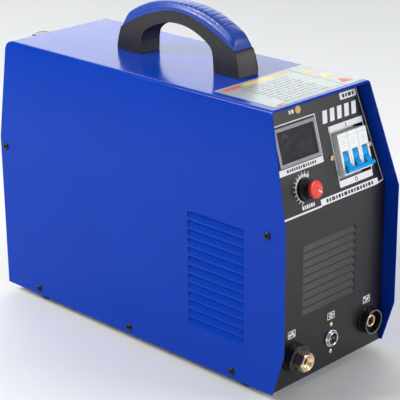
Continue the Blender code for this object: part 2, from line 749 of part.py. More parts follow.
def work_socket():
    where = spot(UPRIGHT, *WORK_AT)
    body = turned("work_socket_body",
                  [(0, 0.0110), (0.0158, 0.0110), (0.0166, 0.0102), (0.0168, 0.0018),
                   (0.0174, 0.0010), (0.0174, 0.0003), (0.0118, 0.0003), (0.0118, -0.0140),
                   (0, -0.0140)], "black_plastic", where, steps=20)
    cut(body, turned("work_socket_hollow",
                     [(0, 0.0300), (0.0141, 0.0300), (0.0141, 0.0024), (0.0089, 0.0024),
                      (0.0089, -0.0300), (0, -0.0300)], where=where, steps=20))
    turned("work_socket_sleeve",
           [(0.0054, 0.0058), (0.0062, 0.0066), (0.0076, 0.0066), (0.0084, 0.0058),
            (0.0084, -0.0143), (0.0108, -0.0143), (0.0108, -0.0175), (0.0054, -0.0175),
            (0.0054, 0.0058)], "brass", where, steps=20)


torch_outlet()
control_socket()
work_socket()


# ---------------------------------------------------------------- rear: fan, gland, earth stud

def fan():
    half = FAN_SIZE / 2
    face = -CHASSIS_SHEET - GAP
    where = spot(REAR, 0, FAN_HEIGHT, 0)
    square = rounded([(-half, -half), (half, -half), (half, half), (-half, half)], [0.004] * 4, 2)
    body = outline("fan_frame", [square, circle((0, 0), FAN_RADIUS + 0.002, 28)], "Z",
                   face - FAN_DEPTH, face, "black_plastic", where)
    struts = bmesh.new()
    add_block(struts, (-0.0585, -0.0030, face - FAN_DEPTH + 0.0002),
              (0.0585, 0.0030, face - FAN_DEPTH + 0.0030))
    cross = bmesh.new()
    add_block(cross, (-0.0032, -0.0585, face - FAN_DEPTH + 0.0002),
              (0.0032, 0.0585, face - FAN_DEPTH + 0.0032))
    join(body, from_bmesh("fan_struts", struts, where=where),
         from_bmesh("fan_cross", cross, where=where),
         rod("fan_motor_plate", (0, 0, face - FAN_DEPTH + 0.0004), (0, 0, face - FAN_DEPTH + 0.0040),
             0.0190, sides=20, where=where))
    cut(body, rod("fan_bearing", (0, 0, face - FAN_DEPTH + 0.0014), (0, 0, face), 0.00308, sides=20,
                  where=where))

    spin = spot(where, 0, 0, face - FAN_DEPTH / 2)
    low = -FAN_DEPTH / 2 + 0.0046
    rotor = rod("fan_rotor", (0, 0, low), (0, 0, FAN_DEPTH / 2 - 0.0010), 0.0195, sides=20,
                mat="black_plastic", where=spin)
    blades = bmesh.new()
    for i in range(7):
        verts = add_block(blades, (0.0180, -0.0105, -0.0007), (FAN_RADIUS - 0.0010, 0.0105, 0.0007))
        pitch = Matrix.Rotation(math.radians(32), 4, "X")
        turn = Matrix.Rotation(2 * math.pi * i / 7, 4, "Z")
        lift = Matrix.Translation((0, 0, 0.0018))
        bmesh.ops.transform(blades, matrix=lift @ turn @ pitch, verts=verts)
    join(rotor, from_bmesh("fan_blades", blades, where=spin),
         rod("fan_shaft", (0, 0, low - 0.0027), (0, 0, low + 0.002), 0.0030, sides=20, where=spin))

    wires = []
    for i, radius in enumerate((0.018, 0.035, 0.052)):
        bpy.ops.mesh.primitive_torus_add(major_radius=radius, minor_radius=0.0011,
                                         major_segments=24, minor_segments=4)
        ring = bpy.context.object
        ring.name = f"guard_ring_{i + 1}"
        for group in list(ring.users_collection):
            group.objects.unlink(ring)
        wires.append(adopt(ring, None, spot(where, 0, 0, 0.0038)))
    guard = rod("fan_guard", (-0.0655, 0, 0.0030), (0.0655, 0, 0.0030), 0.0013, sides=8,
                mat="wire_steel", where=spot(where) @ Matrix.Rotation(math.radians(45), 4, "Z"))
    join(guard, rod("guard_cross", (0, -0.0655, 0.0031), (0, 0.0655, 0.0031), 0.0013, sides=8,
                    where=spot(where) @ Matrix.Rotation(math.radians(45), 4, "Z")), *wires)


def rear_fittings():
    where = spot(REAR, -GLAND[0], GLAND[1])
    gland = turned("cable_gland",
                   [(0, 0.0260), (0.0075, 0.0260), (0.0095, 0.0240), (0.0112, 0.0190),
                    (0.0118, 0.0120), (0.0118, 0.0085), (0.0138, 0.0080), (0.0138, 0.0003),
                    (0.0096, 0.0003), (0.0096, -0.0110), (0, -0.0110)],
                   "black_plastic", where, steps=20)
    cut(gland, rod("gland_bore", (0, 0, -0.02), (0, 0, 0.04), 0.0055, sides=20, where=where))
    where = spot(REAR, -EARTH[0], EARTH[1])
    stud = rod("earth_stud", (0, 0, -0.0120), (0, 0, 0.0150), 0.0030, sides=16, mat="brass",
               where=where)
    join(stud, rod("earth_nut", (0, 0, 0.0011), (0, 0, 0.0062), 0.0058, sides=6, where=where),
         rod("earth_washer", (0, 0, 0.0003), (0, 0, 0.0015), 0.0068, sides=20, where=where))


fan()
rear_fittings()


# ---------------------------------------------------------------- filter regulator

def regulator():
    y = REGULATOR_Y
    panel = CASE_LENGTH - SHEET - GAP
    bracket = block("regulator_bracket", (-0.024, panel + 0.0003, 0.2790),
                    (0.024, panel + 0.0023, 0.2995), "black_paint")
    join(bracket, block("bracket_arm", (-0.0195, panel + 0.0004, 0.2975), (0.0195, y + 0.0170, 0.2995)))
    cut(bracket, rod("bracket_hole", (0, y, 0.28), (0, y, 0.31), 0.0134, sides=20))

    body = block("regulator_body", (-0.0200, y - 0.0200, 0.2480), (0.0200, y + 0.0200, 0.2930),
                 "cast_grey")
    soften(body, 0.0030, 2)
    join(body, rod("regulator_neck", (0, y, 0.2900), (0, y, 0.3015), 0.0130, sides=20),
         rod("regulator_collar", (0, y, 0.2440), (0, y, 0.2500), 0.0165, sides=20),
         rod("regulator_ports", (-0.0240, y, GAUGE_HEIGHT), (0.0240, y, GAUGE_HEIGHT), 0.0085,
             sides=20))
    cut(body, rod("spindle_bore", (0, y, 0.2940), (0, y, 0.3100), 0.00408, sides=20))

    turned("regulator_knob",
           [(0, 0.0260), (0.0120, 0.0260), (0.0148, 0.0248), (0.0156, 0.0222), (0.0160, 0.0030),
            (0.0156, 0.0000), (0.0040, 0.0000), (0.0040, -0.0075), (0, -0.0075)],
           "black_plastic", spot(CASE, 0, y, 0.3042), steps=20)

    turned("filter_bowl",
           [(0.0128, 0.2437), (0.0152, 0.2437), (0.0152, 0.1860), (0.0130, 0.1800),
            (0.0060, 0.1775), (0.0026, 0.1775), (0.0026, 0.1800), (0.0110, 0.1826),
            (0.0128, 0.1880), (0.0128, 0.2437)], "clear_bowl", spot(CASE, 0, y, 0), steps=20)
    turned("drain_valve",
           [(0, 0.0100), (0.0025, 0.0100), (0.0025, 0.0000), (0.0046, 0.0000), (0.0050, -0.0006),
            (0.0050, -0.0094), (0.0044, -0.0100), (0, -0.0100)], "black_plastic",
           spot(CASE, 0, y, 0.1745), steps=20)

    gauge = frame((0, y + 0.0203, GAUGE_HEIGHT), (0, 1, 0))
    case = turned("gauge_body",
                  [(0, 0.0155), (0.0180, 0.0155), (0.0188, 0.0148), (0.0190, 0.0060),
                   (0.0185, 0.0052), (0.0050, 0.0050), (0.0050, 0.0000), (0, 0.0000)],
                  "black_plastic", gauge, steps=20)
    cut(case, rod("gauge_pocket", (0, 0, 0.0085), (0, 0, 0.0200), 0.0172, sides=20, where=gauge))
    cut(case, rod("gauge_pivot_hole", (0, 0, 0.0070), (0, 0, 0.0100), 0.0007, sides=16, where=gauge))
    needle_at = gauge @ Matrix.Rotation(math.radians(135), 4, "Z") @ Matrix.Translation((0, 0, 0.0096))
    needle = outline("gauge_needle", [[(-0.0012, -0.0035), (0.0012, -0.0035), (0.0004, 0.0135),
                                       (-0.0004, 0.0135)]], "Z", -0.0003, 0.0003, "red_plastic",
                     needle_at)
    join(needle, rod("needle_hub", (0, 0, -0.0008), (0, 0, 0.0009), 0.0019, sides=16,
                     where=needle_at),
         rod("needle_pin", (0, 0, -0.0022), (0, 0, 0.0001), 0.00062, sides=16, where=needle_at))
    rod("gauge_lens", (0, 0, 0.0120), (0, 0, 0.0138), 0.0169, sides=20, mat="clear_bowl",
        where=gauge)

    inlet = frame((-0.0243, y, GAUGE_HEIGHT), (-1, 0, 0))
    barb = turned("air_inlet_barb",
                  [(0, 0.0270), (0.0038, 0.0270), (0.0052, 0.0232), (0.0040, 0.0228),
                   (0.0052, 0.0182), (0.0040, 0.0178), (0.0052, 0.0132), (0.0040, 0.0128),
                   (0.0040, 0.0080), (0.0078, 0.0078), (0.0078, 0.0000), (0, 0.0000)],
                  "brass", inlet, steps=20)
    cut(barb, rod("inlet_bore", (0, 0, -0.005), (0, 0, 0.04), 0.0026, sides=16, where=inlet))


regulator()


# ---------------------------------------------------------------- inside

def shelf():
    z = 0.160
    low = 0.0003 + 2 * CHASSIS_SHEET + 2 * GAP
    t = CHASSIS_SHEET
    w = 0.080
    section = [(-w, low), (-w + t, low), (-w + t, z - t), (w - t, z - t), (w - t, low), (w, low),
               (w, z), (-w, z)]
    outline("component_shelf", [section], "Y", 0.205, 0.470, "galvanised")


def heatsink():
    low = 0.0003 + 2 * CHASSIS_SHEET + 2 * GAP + 0.003
    fins, half, foot, top = 11, 0.066, 0.008, 0.118
    points = [(-half, low), (half, low)]
    step = 2 * half / (2 * fins - 1)
    for i in range(fins):
        x = half - 2 * step * i
        points += [(x, top), (x - step, top)]
        if i < fins - 1:
            points += [(x - step, low + foot), (x - 2 * step, low + foot)]
    obj = outline("heatsink", [points], "Y", 0.330, 0.462, "aluminium")
    join(obj, block("heatsink_foot", (-0.070, 0.3301, low - 0.003), (0.070, 0.4619, low + 0.006)))


def transformer():
    low = 0.0003 + 2 * CHASSIS_SHEET + 2 * GAP
    core = block("transformer_core", (-0.045, 0.225, low), (0.045, 0.275, low + 0.078), "ferrite")
    windows = bmesh.new()
    for side in (-1, 1):
        add_block(windows, (side * 0.023 - 0.0115, 0.20, low + 0.012),
                  (side * 0.023 + 0.0115, 0.30, low + 0.066))
    cut(core, from_bmesh("core_windows", windows))
    outline("transformer_winding",
            [rounded([(-0.0335, 0.213), (0.0335, 0.213), (0.0335, 0.287), (-0.0335, 0.287)],
                     [0.010] * 4, 3),
             [(-0.0118, 0.2247), (0.0118, 0.2247), (0.0118, 0.2753), (-0.0118, 0.2753)]],
            "Z", low + 0.0125, low + 0.0655, "copper_winding")


def electronics():
    turned("bus_capacitor",
           [(0, 0.0820), (0.0200, 0.0820), (0.0260, 0.0812), (0.0280, 0.0790), (0.0280, 0.0003),
            (0, 0.0003)], "black_plastic", spot(CASE, 0.020, 0.425, 0.160), steps=20)
    board = block("control_board", (-0.065, 0.215, 0.1740), (0.065, 0.365, 0.1756), "board_green")
    posts = bmesh.new()
    for x in (-0.058, 0.058):
        for y in (0.223, 0.357):
            add_rod(posts, (x, y, 0.1603), (x, y, 0.1748), 0.0035, sides=10)
    join(board, from_bmesh("board_posts", posts),
         block("board_choke", (-0.050, 0.300, 0.1750), (-0.020, 0.330, 0.2000)),
         block("board_relay", (0.010, 0.235, 0.1750), (0.045, 0.262, 0.1930)))


def smooth_path(stations, step):
    """Points at even steps along a Catmull-Rom curve through the stations."""
    pts = [Vector(p) for p in stations]
    ends = [pts[0] * 2 - pts[1]] + pts + [pts[-1] * 2 - pts[-2]]
    fine = []
    for i in range(len(pts) - 1):
        p0, p1, p2, p3 = ends[i:i + 4]
        for k in range(24):
            t = k / 24
            fine.append(0.5 * ((2 * p1) + (p2 - p0) * t + (2 * p0 - 5 * p1 + 4 * p2 - p3) * t ** 2
                               + (3 * p1 - p0 - 3 * p2 + p3) * t ** 3))
    fine.append(pts[-1])
    out, left = [fine[0]], step
    for a, b in zip(fine, fine[1:]):
        span = (b - a).length
        while span >= left:
            a = a + (b - a).normalized() * left
            span -= left
            out.append(a.copy())
            left = step
        left -= span
    if (out[-1] - fine[-1]).length < step * 0.5:
        out.pop()
    return out + [fine[-1]]


def air_hose():
    y = REGULATOR_Y
    g = GAUGE_HEIGHT
    start = Vector((0.0243, y, g))
    tx, tz = TORCH_AT
    end = Vector((tx, 0.0445, tz))
    stations = [(0.0290, y, g), (0.0345, y - 0.0015, g), (0.0408, y - 0.010, g), (0.042, y - 0.035, g),
                (0.046, 0.470, 0.262), (0.074, 0.430, 0.225), (0.089, 0.380, 0.190),
                (0.0905, 0.280, 0.172), (0.0905, 0.180, 0.150), (0.078, 0.110, 0.112),
                (0.030, 0.085, 0.082), (-0.030, 0.088, 0.056),
                (tx + 0.008, 0.092, tz + 0.004), (tx, 0.070, tz), (tx, 0.052, tz)]
    points = [start] + smooth_path(stations, 0.0190) + [end]
    curve = bpy.data.curves.new("air_hose", "CURVE")
    curve.dimensions = "3D"
    curve.bevel_depth = 0.0045
    curve.bevel_resolution = 2
    curve.use_fill_caps = True
    spline = curve.splines.new("POLY")
    spline.points.add(len(points) - 1)
    for point, co in zip(spline.points, points):
        point.co = (*co, 1)
    adopt(bpy.data.objects.new("air_hose", curve), "hose_black", CASE)


shelf()
heatsink()
transformer()
electronics()
air_hose()
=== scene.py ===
import math

import bmesh
import bpy
from mathutils import Matrix, Vector


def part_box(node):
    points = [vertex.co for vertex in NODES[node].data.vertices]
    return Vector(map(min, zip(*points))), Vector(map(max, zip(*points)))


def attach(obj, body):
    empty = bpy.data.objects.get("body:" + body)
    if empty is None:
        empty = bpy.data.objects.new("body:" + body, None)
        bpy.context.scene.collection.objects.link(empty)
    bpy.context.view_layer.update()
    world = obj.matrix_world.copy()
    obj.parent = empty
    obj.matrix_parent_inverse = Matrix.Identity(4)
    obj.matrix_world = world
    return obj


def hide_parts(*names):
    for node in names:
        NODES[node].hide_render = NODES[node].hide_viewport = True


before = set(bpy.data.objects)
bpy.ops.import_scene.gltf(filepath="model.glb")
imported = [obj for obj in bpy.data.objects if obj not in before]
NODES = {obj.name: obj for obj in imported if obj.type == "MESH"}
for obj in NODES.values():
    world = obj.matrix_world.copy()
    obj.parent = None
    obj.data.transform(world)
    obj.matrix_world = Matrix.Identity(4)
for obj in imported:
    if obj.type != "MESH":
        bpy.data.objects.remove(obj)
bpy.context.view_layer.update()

SCENE = bpy.context.scene

# Sizes shared with the model, in metres
HALF = 0.105
CREASE = 0.213
HEIGHT = 0.342
LENGTH = 0.508
LEAN = math.atan2(0.037, 0.129)
RECESS = 0.020
SHEET = 0.0012
CHASSIS_SHEET = 0.0015
GAP = 0.0004
METER = (-0.0385, 0.0820)
KNOB = (-0.0385, 0.0265)
BREAKER = (0.0520, 0.0510)
BREAKER_FACE = 0.0070
POLES = (-0.018, 0.0, 0.018)
TOGGLE_PIVOT = (-0.0055, -0.0032)
TOGGLE_REACH = 0.0200
TORCH_AT = (-0.0660, 0.0365)
CONTROL_AT = (0.0040, 0.0367)
CONTROL_SCREW_RISE = 0.018
PIN_OFFSETS = (-0.0024, 0.0024)
WORK_AT = (0.0762, 0.0362)
HANDLE_AT = 0.2590
HANDLE_HALF = 0.0175
FAN_Z = 0.092
REG_Y = 0.536
GAUGE_Z = 0.272
SCREWS = [(0.0265, 0.201), (0.497, 0.201), (0.083, 0.0095), (0.263, 0.0095), (0.442, 0.0095)]

cover_low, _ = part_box("cover")
CASE = Matrix.Translation((0, cover_low.y, cover_low.z))


def face_frame(origin, out):
    """Local z points out of a face and local y points up it, in the row frame."""
    z = Vector(out).normalized()
    up = Vector((0, 0, 1)) if abs(z.z) < 0.9 else Vector((0, 1, 0))
    y = (up - z * up.dot(z)).normalized()
    x = y.cross(z)
    turn = Matrix((x, y, z)).transposed().to_4x4()
    return CASE @ Matrix.Translation(Vector(origin)) @ turn


SLOPE = face_frame((0, RECESS, CREASE), (0, -math.cos(LEAN), math.sin(LEAN)))
UPRIGHT = face_frame((0, RECESS, 0), (0, -1, 0))
REAR = face_frame((0, LENGTH - SHEET - GAP, 0), (0, 1, 0))


def at(base, x=0.0, y=0.0, z=0.0):
    return base @ Matrix.Translation((x, y, z))


# ---------------------------------------------------------------- materials

class Surface:
    """A Principled material whose colour, roughness and relief vary with noise in the piece's own space."""

    def __init__(self, name, rgb, rough, metal=0.0, ior=1.45):
        self.mat = bpy.data.materials.new(name)
        self.mat.use_nodes = True
        self.tree = self.mat.node_tree
        self.shader = self.tree.nodes["Principled BSDF"]
        self.shader.inputs["Metallic"].default_value = metal
        self.shader.inputs["IOR"].default_value = ior
        self.rgb = rgb
        self.rough = rough
        self.coords = self.node("ShaderNodeTexCoord").outputs["Object"]
        self.colour = None
        self.normal = None

    def node(self, kind, **values):
        made = self.tree.nodes.new(kind)
        for key, value in values.items():
            setattr(made, key, value)
        return made

    def link(self, a, b):
        self.tree.links.new(a, b)

    def noise(self, scale, detail=3.0, rough=0.55, stretch=None):
        tex = self.node("ShaderNodeTexNoise")
        tex.inputs["Scale"].default_value = scale
        tex.inputs["Detail"].default_value = detail
        tex.inputs["Roughness"].default_value = rough
        source = self.coords
        if stretch:
            mapping = self.node("ShaderNodeMapping")
            mapping.inputs["Scale"].default_value = stretch
            self.link(self.coords, mapping.inputs["Vector"])
            source = mapping.outputs["Vector"]
        self.link(source, tex.inputs["Vector"])
        return tex.outputs["Fac"]

    def ranged(self, value, low, high, from_low=0.3, from_high=0.7):
        fit = self.node("ShaderNodeMapRange")
        fit.inputs["From Min"].default_value = from_low
        fit.inputs["From Max"].default_value = from_high
        fit.inputs["To Min"].default_value = low
        fit.inputs["To Max"].default_value = high
        self.link(value, fit.inputs["Value"])
        return fit.outputs["Result"]

    def mottle(self, scale, amount, stretch=None, detail=4.0):
        """The base colour, lighter and darker by the given share."""
        ramp = self.node("ShaderNodeValToRGB")
        ramp.color_ramp.elements[0].position = 0.30
        ramp.color_ramp.elements[1].position = 0.70
        for element, k in zip(ramp.color_ramp.elements, (1 - amount, 1 + amount)):
            element.color = (*[min(c * k, 1.0) for c in self.rgb], 1.0)
        self.link(self.noise(scale, detail, stretch=stretch), ramp.inputs["Fac"])
        self.colour = ramp.outputs["Color"]
        return self

    def tint(self, factor, rgb):
        """Lays another colour over the current one where the factor is 1."""
        mix = self.node("ShaderNodeMix", data_type="RGBA")
        self.link(factor, mix.inputs["Factor"])
        self.link(self.colour, mix.inputs[6])
        mix.inputs[7].default_value = (*rgb, 1.0)
        self.colour = mix.outputs[2]
        return self

    def worn(self, rgb, low=0.53, high=0.60, scale=180.0):
        """Edges rubbed to another colour, broken up by noise."""
        geometry = self.node("ShaderNodeNewGeometry")
        edge = self.ranged(geometry.outputs["Pointiness"], 0.0, 1.0, low, high)
        patchy = self.ranged(self.noise(scale, 4.0), 0.0, 1.0, 0.42, 0.62)
        both = self.node("ShaderNodeMath", operation="MULTIPLY")
        self.link(edge, both.inputs[0])
        self.link(patchy, both.inputs[1])
        return self.tint(both.outputs[0], rgb)

    def relief(self, scale, strength, distance=0.0002, detail=2.0, stretch=None):
        bump = self.node("ShaderNodeBump")
        bump.inputs["Strength"].default_value = strength
        bump.inputs["Distance"].default_value = distance
        self.link(self.noise(scale, detail, stretch=stretch), bump.inputs["Height"])
        if self.normal:
            self.link(self.normal, bump.inputs["Normal"])
        self.normal = bump.outputs["Normal"]
        return self

    def gloss(self, scale, spread, stretch=None):
        low = max(self.rough - spread, 0.02)
        high = min(self.rough + spread, 1.0)
        out = self.ranged(self.noise(scale, 4.0, stretch=stretch), low, high)
        self.link(out, self.shader.inputs["Roughness"])
        return self

    def finish(self, coat=0.0, coat_rough=0.1, clear=0.0):
        self.link(self.colour, self.shader.inputs["Base Color"])
        if self.normal:
            self.link(self.normal, self.shader.inputs["Normal"])
        self.shader.inputs["Coat Weight"].default_value = coat
        self.shader.inputs["Coat Roughness"].default_value = coat_rough
        self.shader.inputs["Transmission Weight"].default_value = clear
        return self.mat


def powder_paint(name, rgb, rough, ior, orange=0.25):
    made = Surface(name, rgb, rough, ior=ior).mottle(9.0, 0.035)
    return made.relief(420.0, orange, 0.00012).relief(35.0, 0.10, 0.0004).gloss(55.0, 0.05).finish()


def moulded(name, rgb, rough=0.45, grain=1500.0, bump=0.35, wear=None, ior=1.46, vary=0.10):
    made = Surface(name, rgb, rough, ior=ior).mottle(60.0, vary)
    if wear:
        made.worn(wear)
    return made.relief(grain, bump, 0.00010).gloss(140.0, 0.08).finish()


def metal(name, rgb, rough, grain=600.0, stretch=(1, 1, 14), bump=0.15, vary=0.10, spread=0.08):
    made = Surface(name, rgb, rough, metal=1.0).mottle(90.0, vary)
    return made.relief(grain, bump, 0.00006, stretch=stretch).gloss(260.0, spread, stretch).finish()


def ink(name, rgb, rough=0.50, vary=0.10):
    return moulded("ink_" + name, rgb, rough, 900.0, 0.2, vary=vary)


BLUE = powder_paint("blue_paint", (0.0010, 0.038, 0.375), 0.16, 1.20)
BLACK_PAINT = powder_paint("black_paint", (0.0120, 0.0116, 0.0138), 0.34, 1.45, 0.55)
ZINC = (Surface("galvanised", (0.56, 0.57, 0.585), 0.38, metal=1.0).mottle(140.0, 0.22, detail=1.0)
        .relief(160.0, 0.08, 0.0002).gloss(120.0, 0.12).finish())
BLACK_MOULD = moulded("black_moulding", (0.020, 0.0190, 0.0205), 0.40, vary=0.08)
BLACK_GLOSS = moulded("black_gloss", (0.012, 0.012, 0.013), 0.22, 900.0, 0.15)
BLUE_MOULD = moulded("blue_moulding", (0.009, 0.050, 0.34), 0.34, 1200.0, 0.22, vary=0.05)
RUBBER = moulded("rubber", (0.014, 0.0135, 0.013), 0.78, 700.0, 0.5, vary=0.25)
SCREW_BLACK = (Surface("black_oxide", (0.028, 0.027, 0.028), 0.34, metal=0.8).mottle(260.0, 0.3)
               .worn((0.22, 0.22, 0.23), 0.52, 0.57, 500.0).relief(800.0, 0.2, 0.00006)
               .gloss(300.0, 0.1).finish())
GREY_MOULD = moulded("grey_moulding", (0.265, 0.26, 0.285), 0.42, 1300.0, 0.25)
DARK_WINDOW = moulded("dark_window", (0.036, 0.036, 0.041), 0.12, 300.0, 0.04, ior=1.40)
WHITE_MOULD = moulded("white_moulding", (0.86, 0.87, 0.86), 0.36, 1400.0, 0.15, vary=0.03)
CYAN_MOULD = moulded("cyan_moulding", (0.0, 0.36, 0.84), 0.24, 1300.0, 0.12, vary=0.08)
RED_MOULD = moulded("red_moulding", (0.82, 0.045, 0.032), 0.32, 1300.0, 0.15, (0.90, 0.20, 0.16))
BRASS = metal("brass", (0.95, 0.69, 0.46), 0.27, 700.0, (1, 1, 10))
BRASS_DULL = metal("brass_dull", (0.62, 0.42, 0.20), 0.34, 500.0, (1, 1, 8), vary=0.2)
CHROME = metal("chrome", (0.84, 0.84, 0.86), 0.09, 400.0, (1, 1, 6), 0.05, 0.03, 0.03)
WIRE = metal("wire_steel", (0.58, 0.59, 0.60), 0.26, 500.0, (1, 1, 1))
CAST = (Surface("cast_grey", (0.36, 0.37, 0.385), 0.42, metal=0.35).mottle(70.0, 0.12)
        .relief(900.0, 0.45, 0.00012).gloss(150.0, 0.08).finish())
# Darker than bare aluminium: painted shade, so that the heatsink seen through the louvres reads as the dark
# inside of the case.
SHADE_DARKENED_ALUMINIUM = metal("aluminium", (0.42, 0.43, 0.44), 0.42, 500.0, (1, 12, 1))
FERRITE = moulded("ferrite", (0.050, 0.048, 0.052), 0.6, 800.0, 0.5, vary=0.2)
COPPER = metal("copper_winding", (0.66, 0.26, 0.10), 0.28, 300.0, (1, 1, 30), 0.4)
BOARD = (Surface("board_green", (0.014, 0.16, 0.055), 0.42).mottle(260.0, 0.35, detail=1.0)
         .relief(500.0, 0.2, 0.0001).gloss(200.0, 0.1).finish())
HOSE = moulded("hose_black", (0.020, 0.020, 0.022), 0.38, 700.0, 0.2)
INK_WHITE = ink("white", (0.80, 0.80, 0.82), vary=0.04)
INK_DARK = ink("dark", (0.030, 0.030, 0.034))
INK_GREY = ink("grey", (0.36, 0.36, 0.38))
INK_DIM = ink("dim", (0.16, 0.17, 0.175))
INK_PALE = ink("pale", (0.62, 0.62, 0.64))
INK_GOLD = ink("gold", (0.72, 0.46, 0.07), 0.40)
INK_RED = ink("red", (0.70, 0.08, 0.06))
INK_GREEN = ink("green", (0.30, 0.66, 0.56))
PAPER = moulded("label_film", (0.30, 0.33, 0.35), 0.32, 300.0, 0.15, ior=1.4, vary=0.03)
CLEAR = (Surface("clear_bowl", (0.90, 0.94, 0.96), 0.04, ior=1.50).mottle(40.0, 0.02)
         .gloss(60.0, 0.03).finish(clear=0.95))
SEGMENT = moulded("unlit_segments", (0.041, 0.040, 0.046), 0.12, 300.0, 0.04, ior=1.40, vary=0.04)
# Pale grey for the work socket's rim ring: a painted highlight on the edge of its lip.
RIM_HIGHLIGHT = moulded("rim_painted_highlight", (0.20, 0.20, 0.21), 0.30, 900.0, 0.15)


def dress(node, mat):
    obj = NODES[node]
    if obj.data.materials:
        obj.data.materials[0] = mat
    else:
        obj.data.materials.append(mat)


def flat_shading(obj):
    """Weights the normals by area, so that flats look flat next to their rounded rims."""
    step = obj.modifiers.new("shading", "WEIGHTED_NORMAL")
    step.keep_sharp = True
    step.weight = 90


def soften(node, width, segments, degrees):
    """Rounds the sharp edges of a CAD node with modifiers, leaving its own mesh as it is."""
    obj = NODES[node]
    obj.data.shade_smooth()
    weld = obj.modifiers.new("weld", "WELD")
    weld.merge_threshold = 0.000005
    bevel = obj.modifiers.new("edges", "BEVEL")
    bevel.width = width
    bevel.segments = segments
    bevel.limit_method = "ANGLE"
    bevel.angle_limit = math.radians(degrees)
    flat_shading(obj)


def crisp_folds(node):
    """Marks the shallow folds of a sheet sharp, so that the flats beside them shade as flats."""
    mesh = NODES[node].data
    where = [tuple(round(c, 6) for c in v.co) for v in mesh.vertices]
    sides = {}
    for face in mesh.polygons:
        for a, b in face.edge_keys:
            sides.setdefault(frozenset((where[a], where[b])), []).append(face.normal.copy())
    for edge in mesh.edges:
        a, b = edge.vertices
        normals = sides.get(frozenset((where[a], where[b])), [])
        if len(normals) == 2 and 4 < math.degrees(normals[0].angle(normals[1], 0)) < 17.5:
            edge.use_edge_sharp = True


# ---------------------------------------------------------------- mesh tools

def placed(name, data, where=None):
    obj = bpy.data.objects.new(name, data)
    SCENE.collection.objects.link(obj)
    if where is not None:
        obj.matrix_world = where
    bpy.context.view_layer.update()
    return obj


def carried(name, data, body, where, stands_for=()):
    """A new piece that rides on a body, in place of the CAD nodes it stands for."""
    obj = placed(name, data, where)
    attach(obj, body)
    if stands_for:
        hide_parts(*stands_for)
    return obj


def piece(name, bm, mat, body="case", where=CASE, degrees=32, stands_for=(), slot=None):
    mesh = bpy.data.meshes.new(name)
    bmesh.ops.recalc_face_normals(bm, faces=bm.faces)
    bm.to_mesh(mesh)
    bm.free()
    mesh.shade_smooth()
    mesh.set_sharp_from_angle(angle=math.radians(degrees))
    mesh.materials.append(mat)
    obj = carried(name, mesh, body, where, stands_for)
    flat_shading(obj)
    return obj


def filleted(profile, radius, steps=3):
    """An open profile whose inner corners are rounded."""
    points = [Vector(profile[0])]
    for before, corner, after in zip(profile, profile[1:], profile[2:]):
        corner = Vector(corner)
        a = Vector(before) - corner
        b = Vector(after) - corner
        if a.length < 1e-7 or b.length < 1e-7 or abs(a.angle(b) - math.pi) < 0.03:
            points.append(corner)
            continue
        reach = min(radius, 0.45 * a.length, 0.45 * b.length)
        start = corner + a.normalized() * reach
        end = corner + b.normalized() * reach
        for i in range(steps + 1):
            t = i / steps
            points.append(start * (1 - t) ** 2 + corner * 2 * t * (1 - t) + end * t ** 2)
    points.append(Vector(profile[-1]))
    return points


def add_turned(bm, profile, steps=64, radius=0.0004, shape=None, centre=(0, 0, 0)):
    """A profile of (radius, height) run round local z. shape(angle, radius, height) may change the radius."""
    rings = []
    made = []
    offset = Vector(centre)
    for r, z in filleted(profile, radius):
        count = 1 if r < 1e-7 else steps
        ring = []
        for i in range(count):
            angle = 2 * math.pi * i / steps
            reach = shape(angle, r, z) if shape and r > 1e-7 else r
            ring.append(bm.verts.new(offset + Vector((reach * math.cos(angle), reach * math.sin(angle), z))))
        rings.append(ring)
        made += ring
    for low, high in zip(rings, rings[1:]):
        if len(low) == 1 and len(high) == 1:
            continue
        for i in range(steps):
            j = (i + 1) % steps
            corners = [low[i % len(low)], low[j % len(low)], high[j % len(high)], high[i % len(high)]]
            unique = []
            for corner in corners:
                if corner not in unique:
                    unique.append(corner)
            bm.faces.new(unique)
    return made


def six_sided(flat, low, high, least):
    """A shape for a turning: six flats between two heights, where the radius is over the least."""
    def shape(angle, r, z):
        if low < z < high and r > least:
            return min(r, flat / math.cos((angle % (math.pi / 3)) - math.pi / 6))
        return r
    return shape


def fluted(count, depth, power, low, high, least):
    """A shape for a turning: flutes between two heights, where the radius is over the least."""
    def shape(angle, r, z):
        if low < z < high and r > least:
            return r - depth * (0.5 - 0.5 * math.cos(count * angle)) ** power
        return r
    return shape


def turned(name, profile, mat, steps=64, radius=0.0004, shape=None, **rest):
    bm = bmesh.new()
    add_turned(bm, profile, steps, radius, shape)
    return piece(name, bm, mat, **rest)


def add_plate(bm, points, low, high, bevel=0.0, segments=2):
    """A flat outline with thickness, its upper rim rounded."""
    plate = bmesh.new()
    base = [plate.verts.new((x, y, low)) for x, y in points]
    top = [plate.verts.new((x, y, high)) for x, y in points]
    plate.faces.new(base[::-1])
    cap = plate.faces.new(top)
    for i in range(len(points)):
        j = (i + 1) % len(points)
        plate.faces.new((base[i], base[j], top[j], top[i]))
    if bevel:
        bmesh.ops.bevel(plate, geom=list(cap.edges), offset=bevel, segments=segments, profile=0.5,
                        affect="EDGES", clamp_overlap=True)
    copies = {v: bm.verts.new(v.co) for v in plate.verts}
    for face in plate.faces:
        bm.faces.new([copies[v] for v in face.verts])
    plate.free()
    return list(copies.values())


def oblong(x0, y0, x1, y1, radius=0.0, steps=5):
    if radius <= 0:
        return [(x0, y0), (x1, y0), (x1, y1), (x0, y1)]
    points = []
    for cx, cy, turn in ((x1 - radius, y0 + radius, -90), (x1 - radius, y1 - radius, 0),
                         (x0 + radius, y1 - radius, 90), (x0 + radius, y0 + radius, 180)):
        for i in range(steps + 1):
            angle = math.radians(turn + 90 * i / steps)
            points.append((cx + radius * math.cos(angle), cy + radius * math.sin(angle)))
    return points


def ring_points(cx, cy, radius, count=40):
    points = []
    for i in range(count):
        angle = 2 * math.pi * i / count
        points.append((cx + radius * math.cos(angle), cy + radius * math.sin(angle)))
    return points


